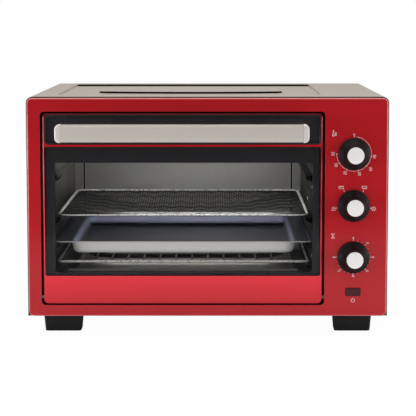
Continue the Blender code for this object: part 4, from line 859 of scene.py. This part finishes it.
# %% Sides of the cover
y = low[1] + along * (high[1] - low[1])
turn = np.linspace(0, np.pi / 2, 9)
slot_z = (171.7 * mm, 221.7 * mm)
slot_row = len(turn)  # the row of faces between the two heights of slot_z
x_out = np.concatenate([-bend * (1 - np.sin(turn)), np.zeros(4)])
z_out = np.concatenate([top - bend * (1 - np.cos(turn)), [slot_z[1], slot_z[0], 100 * mm, low[2]]])
grids = [(rings, quads(len(rings), n, around=True))]
for out in (-1, 1):
    wide = high[0] + x_out
    side = np.stack(np.broadcast_arrays((out * wide)[:, None], y[None, :], z_out[:, None]), axis=-1)
    keep = np.ones((len(x_out) - 1, len(y) - 1), bool)
    if out > 0:
        mid = (y[1:] + y[:-1]) / 2
        keep[slot_row] = ~(np.abs(mid[:, None] - slot_y[None, :]) < 2 * mm).any(axis=1)
    numbers = quads(len(x_out), len(y), keep=keep)
    grids.append((side, numbers if out > 0 else numbers[:, ::-1]))
cover = piece("cover_sheet", grids, (grey_paint, cut_edge_and_shade), "oven", ("outer_cover",))
wall = cover.modifiers.new("sheet", "SOLIDIFY")
wall.thickness = 0.8 * mm
wall.offset = -1
wall.material_offset_rim = 1
flattened(cover)

# %% [markdown]
# ## Knobs
# Each knob is turned: a flared black skirt that sweeps up to a narrow neck, with fine rings moulded in it for
# grip, and a bright brushed cap let into its face. A groove in the cap's rim is the pointer.


# %% Knobs
def turned(profile, centre, steps=160):
    """Points (radius, height) carried round the axis that leads out of the fascia: x = r cos a, z = r sin a."""
    radius, height = np.asarray(profile).T[:, :, None]
    turn = np.linspace(0, 2 * np.pi, steps, endpoint=False)[None, :]
    points = np.stack([radius * np.cos(turn), -height + 0 * turn, radius * np.sin(turn)], axis=-1)
    return points + np.asarray(centre), quads(len(profile), steps, around=True)


corners = [
    *[(23.35, 4.6), (23.35, 5.6), (22.6, 6.3), (19.0, 8.6), (16.0, 14.0)],
    *[(14.6, 21.0), (14.0, 27.6), (13.5, 29.1), (12.7, 29.2), (12.4, 28.4)],
]
flank = eased(np.array(corners) * mm, 4)
length = np.concatenate([[0], np.cumsum(np.linalg.norm(np.diff(flank, axis=0), axis=1))])
at = np.linspace(0, length[-1], 110)
flank = np.stack([np.interp(at, length, flank[:, 0]), np.interp(at, length, flank[:, 1])], axis=1)
ribbed = (at > 3 * mm) & (at < 24 * mm)
flank[:, 0] -= np.where(ribbed, 0.12 * mm * (1 - np.cos(2 * np.pi * at / (1.5 * mm))), 0)
foot = np.array([(0, 4.8), (19, 4.8), (19, 0.8), (23.0, 0.8), (23.35, 1.2)]) * mm
knob_profile = np.concatenate([foot, flank, np.array([(12.4, 26.6), (0, 26.6)]) * mm])
pointer_turns = {"temperature": 0, "function": -33, "timer": 0}
cap_radius = 12.1 * mm
for control, pointer in pointer_turns.items():
    low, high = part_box(control + "_knob")
    centre = np.array([(low[0] + high[0]) / 2, fascia_y, (low[2] + high[2]) / 2])
    body = control + "_control"
    piece(control + "_grip", [turned(knob_profile, centre)], black_plastic, body, (control + "_knob",))
    rim = [11.7, 11.95, 12.08, 12.1, 12.1, 0.001]
    radius = np.concatenate([[0.001, 1.5, 3, 4.5, 6], np.linspace(6.8, 11.4, 16), rim]) * mm
    crown = 30.1 * mm - 0.35 * mm * (radius / cap_radius) ** 2
    crown[-4:] = np.array([29.55, 29.2, 26.9, 26.9]) * mm
    crown[-5] = 29.68 * mm
    cap, faces = turned(np.stack([radius, crown], 1), (0, 0, 0), 240)
    turn = np.radians(90 - pointer)
    ahead = cap[..., 0] * np.cos(turn) + cap[..., 2] * np.sin(turn)
    beside = -cap[..., 0] * np.sin(turn) + cap[..., 2] * np.cos(turn)
    groove = (1 - np.clip(np.abs(beside) / (0.75 * mm), 0, 1) ** 4) * np.clip((ahead - 6.6 * mm) / (0.8 * mm), 0, 1)
    cap[:-3, :, 1] += 0.55 * mm * groove[:-3]
    made = piece(control + "_cap", [(cap + centre, faces)], spun, body, (control + "_knob_cap",), angle=50)
    at = np.empty(3 * len(made.data.vertices))
    made.data.vertices.foreach_get("co", at)
    from_axis = np.linalg.norm((at.reshape(-1, 3) - centre)[:, [0, 2]], axis=1)
    made.data.attributes.new("radius", "FLOAT", "POINT").data.foreach_set("value", from_axis)

# %% [markdown]
# ## Print on the fascia
# Round the knobs, white screen ink gives numbers, ticks and signs, each a film on the enamel. Strokes are ribbons:
# points along a line, moved half the stroke's width to both sides. Numbers are Blender's own font made a mesh and
# then stood upright. Everything is in millimetres from the knob's axis, and turns are clockwise from the top.

# %% Ink helpers
ink_y = face_y - 0.06 * mm
ink_points, ink_faces = [], []
control_centre = {}
for control in pointer_turns:
    low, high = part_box(control + "_knob")
    control_centre[control] = np.array([(low[0] + high[0]) / 2, (low[2] + high[2]) / 2])


def put_ink(flat, faces):
    """Stands flat points upright on the fascia: (x, y) becomes (x, ink, y), which faces out of the oven."""
    start = sum(len(part) for part in ink_points)
    ink_points.append(np.column_stack([flat[:, 0], np.full(len(flat), ink_y), flat[:, 1]]))
    ink_faces.extend([[start + corner for corner in face] for face in faces])


def stroke(origin, line, width=0.5):
    """A ribbon along a line in millimetres from an origin: each point goes width / 2 to both sides of it."""
    line = np.asarray(line, float) * mm
    ahead = np.gradient(line, axis=0)
    ahead /= np.linalg.norm(ahead, axis=1, keepdims=True)
    aside = np.stack([-ahead[:, 1], ahead[:, 0]], axis=1) * width / 2 * mm
    flat = np.stack([line - aside, line + aside], axis=1) + origin
    put_ink(flat.reshape(-1, 2), quads(len(line), 2).tolist())


def on_dial(turn, reach):
    """A place on a dial, by its turn in degrees clockwise from the top: x = r sin a, y = r cos a."""
    return reach * np.sin(np.radians(turn)), reach * np.cos(np.radians(turn))


def arc(radius, start, end, steps=40, centre=(0, 0)):
    """Points of a circle round a centre, from one turn to another."""
    return np.stack(on_dial(np.linspace(start, end, steps), radius), axis=1) + centre


def number(text, origin, place, height=3.3):
    """A number centred on a place in millimetres from an origin."""
    curve = bpy.data.curves.new("number", "FONT")
    curve.body = text
    curve.size = height * mm / 0.7
    curve.align_x, curve.align_y = "CENTER", "CENTER"
    curve.resolution_u = 2
    lettered = bpy.data.objects.new("number", curve)
    mesh = bpy.data.meshes.new_from_object(lettered)
    flat = np.empty(3 * len(mesh.vertices))
    mesh.vertices.foreach_get("co", flat)
    flat = flat.reshape(-1, 3)[:, :2] + origin + np.array(place) * mm
    put_ink(flat, [list(face.vertices) for face in mesh.polygons])
    bpy.data.objects.remove(lettered)
    bpy.data.curves.remove(curve)
    bpy.data.meshes.remove(mesh)


# %% [markdown]
# ## Temperature scale
# An arc leads from the top round to the last step. Each step has a tick with its degrees Fahrenheit over its
# degrees Celsius. A small thermometer stands at the top left.

# %% Temperature scale
dial = control_centre["temperature"]
stroke(dial, arc(25.4, 6, 270, 90), 0.35)
number("0", dial, (0, 28.2))
stroke(dial, [(0, 24.4), (0, 26)], 0.7)
scale_steps = (
    (98, "200", "90", 30),
    (133, "250", "120", 33),
    (165, "300", "150", 30.5),
    (205, "350", "180", 31),
    (238, "400", "200", 31),
    (270, "450", "230", 31),
)
for turn, fahrenheit, celsius, reach in scale_steps:
    stroke(dial, [on_dial(turn, 24.2), on_dial(turn, 26.4)], 0.8)
    across_x, up = on_dial(turn, reach)
    number(fahrenheit, dial, (across_x, up + 1.4), 2.3)
    number(celsius, dial, (across_x, up - 1.4), 2.3)
for place, radius in (((-30.4, 27.6), 1.5), ((-26.8, 27.8), 0.7), ((-26.8, 30.4), 0.7)):
    stroke(dial, arc(radius, 0, 360, 20, place), 0.6)
stroke(dial, [(-31.0, 29), (-31.0, 34), (-30.4, 34.7), (-29.8, 34), (-29.8, 29)], 0.45)

# %% [markdown]
# ## Function signs
# Generic signs tell the four settings apart: an oven with its upper heater, one with its lower heater, a fan in a
# circle, and a dish with warm air over it.

# %% Function signs
dial = control_centre["function"]
for turn in (-98, -33, 33, 98):
    stroke(dial, [on_dial(turn, 24.6), on_dial(turn, 26.6)], 0.9)
for across_x, bar in ((-18.2, 1.4), (15.6, -1.4)):
    left, right, low, high = across_x - 3.4, across_x + 3.4, 24.9, 28.7
    oven_sign = [(left, low), (left, high), (right, high), (right, low), (left, low)]
    for start, end in zip(oven_sign, oven_sign[1:]):
        stroke(dial, [start, end], 0.45)
    stroke(dial, [(across_x - 2.2, 26.8 + bar * 0.6), (across_x + 2.2, 26.8 + bar * 0.6)], 0.6)
fan_sign = np.array([29.2, -4.6])
stroke(dial, arc(2.9, 0, 360, 40, fan_sign), 0.45)
for turn in (0, 120, 240):
    stroke(dial, [fan_sign, fan_sign + on_dial(turn, 2.0)], 0.6)
stroke(dial, [(-32.6, -5.6), (-31.8, -6.9), (-27.0, -6.9), (-26.2, -5.6)], 0.5)
stroke(dial, [(-32.2, -4.6), (-26.6, -4.6)], 0.5)
for across_x in (-31.2, -29.4, -27.6):
    stroke(dial, [(across_x, -3.6), (across_x + 0.5, -2.7), (across_x, -1.9)], 0.4)

# %% [markdown]
# ## Timer scale
# A tick stands every 15 degrees, which is about three minutes, and every third one is longer and has a number. An
# hourglass at the top left says what the dial is for.

# %% Timer scale
dial = control_centre["timer"]
number("0", dial, (0, 28.2))
for turn in range(0, 271, 15):
    far, width = (26.6, 0.7) if turn % 45 == 0 else (25.2, 0.5)
    stroke(dial, [on_dial(turn, 24.4), on_dial(turn, far)], width)
for turn, text in ((45, "10"), (90, "20"), (135, "30"), (180, "40"), (225, "50"), (270, "60")):
    number(text, dial, on_dial(turn, 29.2 if turn % 90 else 28.6), 2.6)
hourglass = (
    ((-32.6, 34.4), (-27.4, 34.4)),
    ((-32.6, 28.2), (-27.4, 28.2)),
    ((-32.0, 34.0), (-28.0, 28.6)),
    ((-28.0, 34.0), (-32.0, 28.6)),
)
for start, end in hourglass:
    stroke(dial, [start, end], 0.5)

# %% [markdown]
# ## Power sign
# Under the lens stands the usual ring, open at the top, with a bar in its gap. Then all strokes become one film.

# %% Power sign and the film itself
low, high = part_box("indicator_lens")
sign = np.array([(low[0] + high[0]) / 2, low[2] - 4.4 * mm])
stroke(sign, arc(2.6, 38, 322, 40), 0.6)
stroke(sign, [(0, 0.6), (0, 3.6)], 0.6)
ink = bpy.data.meshes.new("panel_print")
ink.from_pydata(np.concatenate(ink_points).tolist(), [], ink_faces)
settle("panel_print", ink, white_ink, "oven", ())

# %% [markdown]
# ## Handle
# The bar is an extrusion whose front face bulges by half a millimetre. Its outline is carried along x in 24
# steps and closed at both ends by shrinking it to its middle. The end caps are softened copies of the solids.

# %% Handle bar and ends
low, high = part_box("handle_bar")
half = (high[2] - low[2]) / 2
middle_z = (high[2] + low[2]) / 2
outline = loop_path((low[1], -half), (high[1], half), 3 * mm, steps=10, spacing=0.6 * mm)[:, :2]
bulge = 0.5 * mm * (1 - (outline[:, 1] / half) ** 2)
outline[:, 0] += np.where(outline[:, 0] < (low[1] + high[1]) / 2, 0.5 * mm - bulge, 0)
x = np.array([low[0], low[0], *np.linspace(low[0], high[0], 24), high[0], high[0]])
scale = np.array([0, *np.ones(len(x) - 2), 0])
centre_y = (low[1] + high[1]) / 2
bar_y = centre_y + (outline[:, 0] - centre_y)[None] * scale[:, None]
bar_z = middle_z + outline[:, 1][None] * scale[:, None]
bar = np.stack(np.broadcast_arrays(x[:, None], bar_y, bar_z), axis=-1)
piece("handle_grip", [(bar, quads(len(x), len(outline), around=True))], satin, "door", ("handle_bar",))
softened("handle_end_left", "handle_cap_left", polished, "door", 0.9 * mm, 3)
softened("handle_end_right", "handle_cap_right", polished, "door", 0.9 * mm, 3)

# %% [markdown]
# ## Basket
# The basket is a wire mesh that hangs in a rim wire. Each wire is a tube along one direction, lifted and lowered
# by 0.35 mm in turn so that the two directions weave, and all of them follow the dish that the mesh sags into.
# The rim's front and sides are a plain thin wire. At the back the mesh is wrapped round it, which makes beads.

# %% Basket
low, high = (np.array(corner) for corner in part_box("basket_rim"))
rim_radius = (high[2] - low[2]) / 2
rim_z = (high[2] + low[2]) / 2
rim = loop_path(low[:2] + rim_radius, high[:2] - rim_radius, 18 * mm - rim_radius, rim_z, steps=14, spacing=1.0 * mm)
travel = np.arange(len(rim)) * 1.0
beaded = np.clip((rim[:, 1] - low[1] - 20 * mm) / (30 * mm), 0, 1)
bead = 0.5 + beaded * (0.5 - 0.27 * (1 + np.cos(2 * np.pi * travel / 4.6)))
rim_tube = tubes(rim[None], rim_radius * bead[None], 10, closed=True)
piece("basket_rim_wire", [rim_tube], plated, "basket", ("basket_rim",))
low, high = (np.array(corner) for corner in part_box("basket_mesh"))
middle_xy = (low[:2] + high[:2]) / 2
half_xy = (high[:2] - low[:2]) / 2 - 0.5 * mm
corner = 12.7 * mm


def dish(x, y):
    """The mesh's height under the rim: it sags 11 mm over the 120 mm inside the rim, as 3 s^2 - 2 s^3 of the
    share s of that distance, and ripples by 0.5 mm in waves that wander along x, where the weave was pressed."""
    over_x = np.abs(x) - half_xy[0] + corner
    over_y = np.abs(y) - half_xy[1] + corner
    inside = np.minimum(np.maximum(over_x, over_y), 0) + np.hypot(np.maximum(over_x, 0), np.maximum(over_y, 0))
    share = np.clip((corner - inside) / (120 * mm), 0, 1)
    wander = 0.9 * np.sin(2 * np.pi * x / (31 * mm))
    ripple = 0.5 * mm * np.sin(2 * np.pi * y / (38 * mm) + wander) * np.minimum(8 * share, 1)
    return -11.0 * mm * share * share * (3 - 2 * share) + ripple


def reach_at(across_xy, axis):
    """How far a wire runs to each side before it meets the rim, at a distance from the middle line."""
    over = np.maximum(np.abs(across_xy) - half_xy[1 - axis] + corner, 0)
    return half_xy[axis] - corner + np.sqrt(np.maximum(corner**2 - over**2, 0))


pitch = 3.8 * mm
grids = []
for axis, sign in ((0, 1), (1, -1)):
    count = int(2 * half_xy[1 - axis] / pitch)
    offset = (np.arange(count) - (count - 1) / 2) * pitch
    run = np.linspace(-1, 1, int(2 * half_xy[axis] / pitch) + 1)
    ahead = run[None, :] * reach_at(offset, axis)[:, None]
    beside = np.broadcast_to(offset[:, None], ahead.shape)
    x, y = (ahead, beside) if axis == 0 else (beside, ahead)
    weave = 0.35 * mm * sign * np.where((np.arange(ahead.shape[1])[None, :] + np.arange(count)[:, None]) % 2, 1, -1)
    z = rim_z + dish(x, y) + weave
    grids.append(tubes(np.stack([middle_xy[0] + x, middle_xy[1] + y, z], axis=-1), 0.45 * mm, 4))
piece("basket_wires", grids, tarnished_and_rod_shade_wire, "basket", ("basket_mesh",), angle=60)

# %% [markdown]
# ## Rack
# The rack is a rectangle of wire with rods across it, and a bar under the rods that keeps them from spreading.
# Tubes along straight lines and a round-cornered loop make all of it.

# %% Rack
low, high = (np.array(corner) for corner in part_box("wire_rack"))
rack_radius = 1.9 * mm
rack_z = high[2] - rack_radius
round_corner = 7 * mm - rack_radius
frame_wire = loop_path(low[:2] + rack_radius, high[:2] - rack_radius, round_corner, rack_z, steps=10, spacing=4 * mm)
frame_tube = tubes(frame_wire[None], rack_radius, 12, closed=True)
piece("rack_frame_wire", [frame_tube], plated, "rack", ("wire_rack",), angle=50)
rod_pitch = 24.1 * mm
x = (low[0] + high[0]) / 2 + (np.arange(14) - 6.5) * rod_pitch
y = np.linspace(low[1] + rack_radius, high[1] - rack_radius, 12)
rods = np.stack(np.broadcast_arrays(x[:, None], y[None, :], rack_z), axis=-1)
grids = [tubes(rods, 1.5 * mm, 10)]
bar_x = (low[0] + high[0]) / 2 + np.linspace(-7, 7, 15) * rod_pitch
bar = np.stack(np.broadcast_arrays(bar_x, (low[1] + high[1]) / 2, rack_z - 3 * mm), axis=-1)
grids.append(tubes(bar[None], 2 * mm, 10))
# the rods wear the dark mesh wire as a painted shade
piece("rack_rods", grids, tarnished_and_rod_shade_wire, "rack", angle=50)

# %% [markdown]
# ## Heating elements
# Each heater is one bent tube. Its line leads from a terminal behind the liner along the cavity and back, with
# round bends, and the tube is drawn round that line.

# %% Heating elements
for name in ("lower", "upper"):
    low, high = (np.array(corner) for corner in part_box(name + "_heating_element"))
    r = 3.5 * mm
    z = (low[2] + high[2]) / 2
    turn = np.linspace(0, np.pi / 2, 14)
    left, right, near, far, bow = low[0] + r, high[0] - r, low[1] + r, high[1], 50 * mm
    line = np.concatenate([
        np.stack([np.full(12, left), np.linspace(far, near + bow, 12)], 1)[:-1],
        np.stack([left + bow * (1 - np.cos(turn)), near + bow * (1 - np.sin(turn))], 1),
        np.stack([np.linspace(left + bow, right - bow, 12), np.full(12, near)], 1)[1:-1],
        np.stack([right - bow * (1 - np.sin(turn)), near + bow * (1 - np.cos(turn))], 1),
        np.stack([np.full(12, right), np.linspace(near + bow, far, 12)], 1)[1:],
    ])
    line = np.column_stack([line, np.full(len(line), z)])
    piece(name + "_heater", [tubes(line[None], r, 16)], sheath, "oven", (name + "_heating_element",), angle=60)

# %% [markdown]
# ## Pan
# The pan is drawn from one sheet: an edge rolled under, a flat brim, a rounded fall and a level floor.
# Round-cornered loops at falling heights are joined row by row, and a modifier gives the sheet its thickness.
# Each corner of the profile has its inset at the sides and at the ends, its fall below the top and the radius of
# the loop there. The first rows, the rolled edge seen from outside, are bare sheet.

# %% Pan
low, high = (np.array(corner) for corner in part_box("bake_pan"))
round_count, rolled_rows = 420, 9
profile = eased(
    np.array([
        (1.0, 1.0, 1.5, 5), (0.1, 0.1, 1.1, 6), (0.0, 0.0, 0.3, 6), (0.9, 0.9, 0.0, 6), (2.4, 1.8, 0.3, 6),
        (20.5, 3.6, 0.3, 13), (22.3, 4.8, 0.4, 15), (23.0, 5.5, 1.8, 15), (24.6, 7.1, 10.5, 14),
        (25.6, 8.1, 14.6, 13),
        (27.9, 10.4, 17.6, 11), (32.0, 14.5, 18.4, 9), (60, 42, 18.5, 6), (120, 100, 18.5, 3), (184, 144, 18.5, 1),
    ]) * mm,
    2,
)
loops = [
    loop_path(low[:2] + (side, end), high[:2] - (side, end), radius, high[2] - down, count=round_count)
    for side, end, down, radius in profile
]
centre = np.append((low[:2] + high[:2]) / 2, high[2] - 18.5 * mm)
loops.append(np.repeat(centre[None], round_count, axis=0))
grid = (np.stack(loops), quads(len(loops), round_count, around=True))
pan = piece("pressed_pan", [grid], (nonstick, bright_steel), "pan", ("bake_pan",), closed=False)
finish_of = np.zeros(len(pan.data.polygons), np.int32)
finish_of[: rolled_rows * round_count] = 1
pan.data.polygons.foreach_set("material_index", finish_of)
skin = pan.modifiers.new("sheet", "SOLIDIFY")
skin.thickness = 0.8 * mm
skin.offset = -1
skin.material_offset = 1
skin.material_offset_rim = 1

# %% [markdown]
# ## Screws and rivets
# Pan-head screws hold the back and the base, and small rivets show on the liner's right wall. A head is a profile
# turned round its own axis, and four of its columns sink near the middle, which makes the cross recess.


# %% Fastener heads
def heads(name, places, out, finish, radius, height, recess=0.0):
    """Heads on one plane: place + r (u cos a + v sin a) + h out, with u and v square to `out`."""
    out = np.array(out, float)
    u = np.cross(out, (0, 0, 1)) if abs(out[2]) < 0.5 else np.array([1.0, 0, 0])
    v = np.cross(out, u)
    r = np.array([0.001, 0.25, 0.5, 0.62, 0.8, 0.93, 1, 1]) * radius
    h = np.array([1, 1, 0.98, 0.95, 0.8, 0.55, 0.3, -0.1]) * height
    turn = np.linspace(0, 2 * np.pi, 24, endpoint=False)
    lift = np.repeat(h[:, None], 24, axis=1)
    lift[1:3, ::6] -= recess
    flat = r[:, None, None] * (np.cos(turn)[None, :, None] * u + np.sin(turn)[None, :, None] * v)
    one = flat + lift[..., None] * out
    grids = [(one + np.array(place), quads(len(r), 24, around=True)) for place in places]
    return piece(name, grids, finish, "oven", angle=50)


back_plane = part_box("outer_cover")[1][1]
side = 252 * mm
rear_places = [(x, back_plane, z) for x in (-side, 0, side) for z in (40 * mm, 335 * mm)]
rear_places += [(x, back_plane, 180 * mm) for x in (-side, side)]
heads("rear_cover_screws", rear_places, (0, 1, 0), zinc, 3.4 * mm, 2.0 * mm, 0.9 * mm)
base_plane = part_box("base_plate")[0][2]
base_places = [(x, y, base_plane) for x in (-0.17, 0.17) for y in (-0.16, 0.19)]
heads("base_screws", base_places, (0, 0, -1), zinc, 3.4 * mm, 2.0 * mm, 0.9 * mm)
liner_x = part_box("cavity_right_wall")[1][0] - 0.6 * mm
rivet_places = [(liner_x, -0.158, 0.2138), (liner_x, -0.158, 0.111), (liner_x, -0.049, 0.1827)]
heads("liner_rivets", rivet_places, (-1, 0, 0), polished, 2.6 * mm, 1.4 * mm)
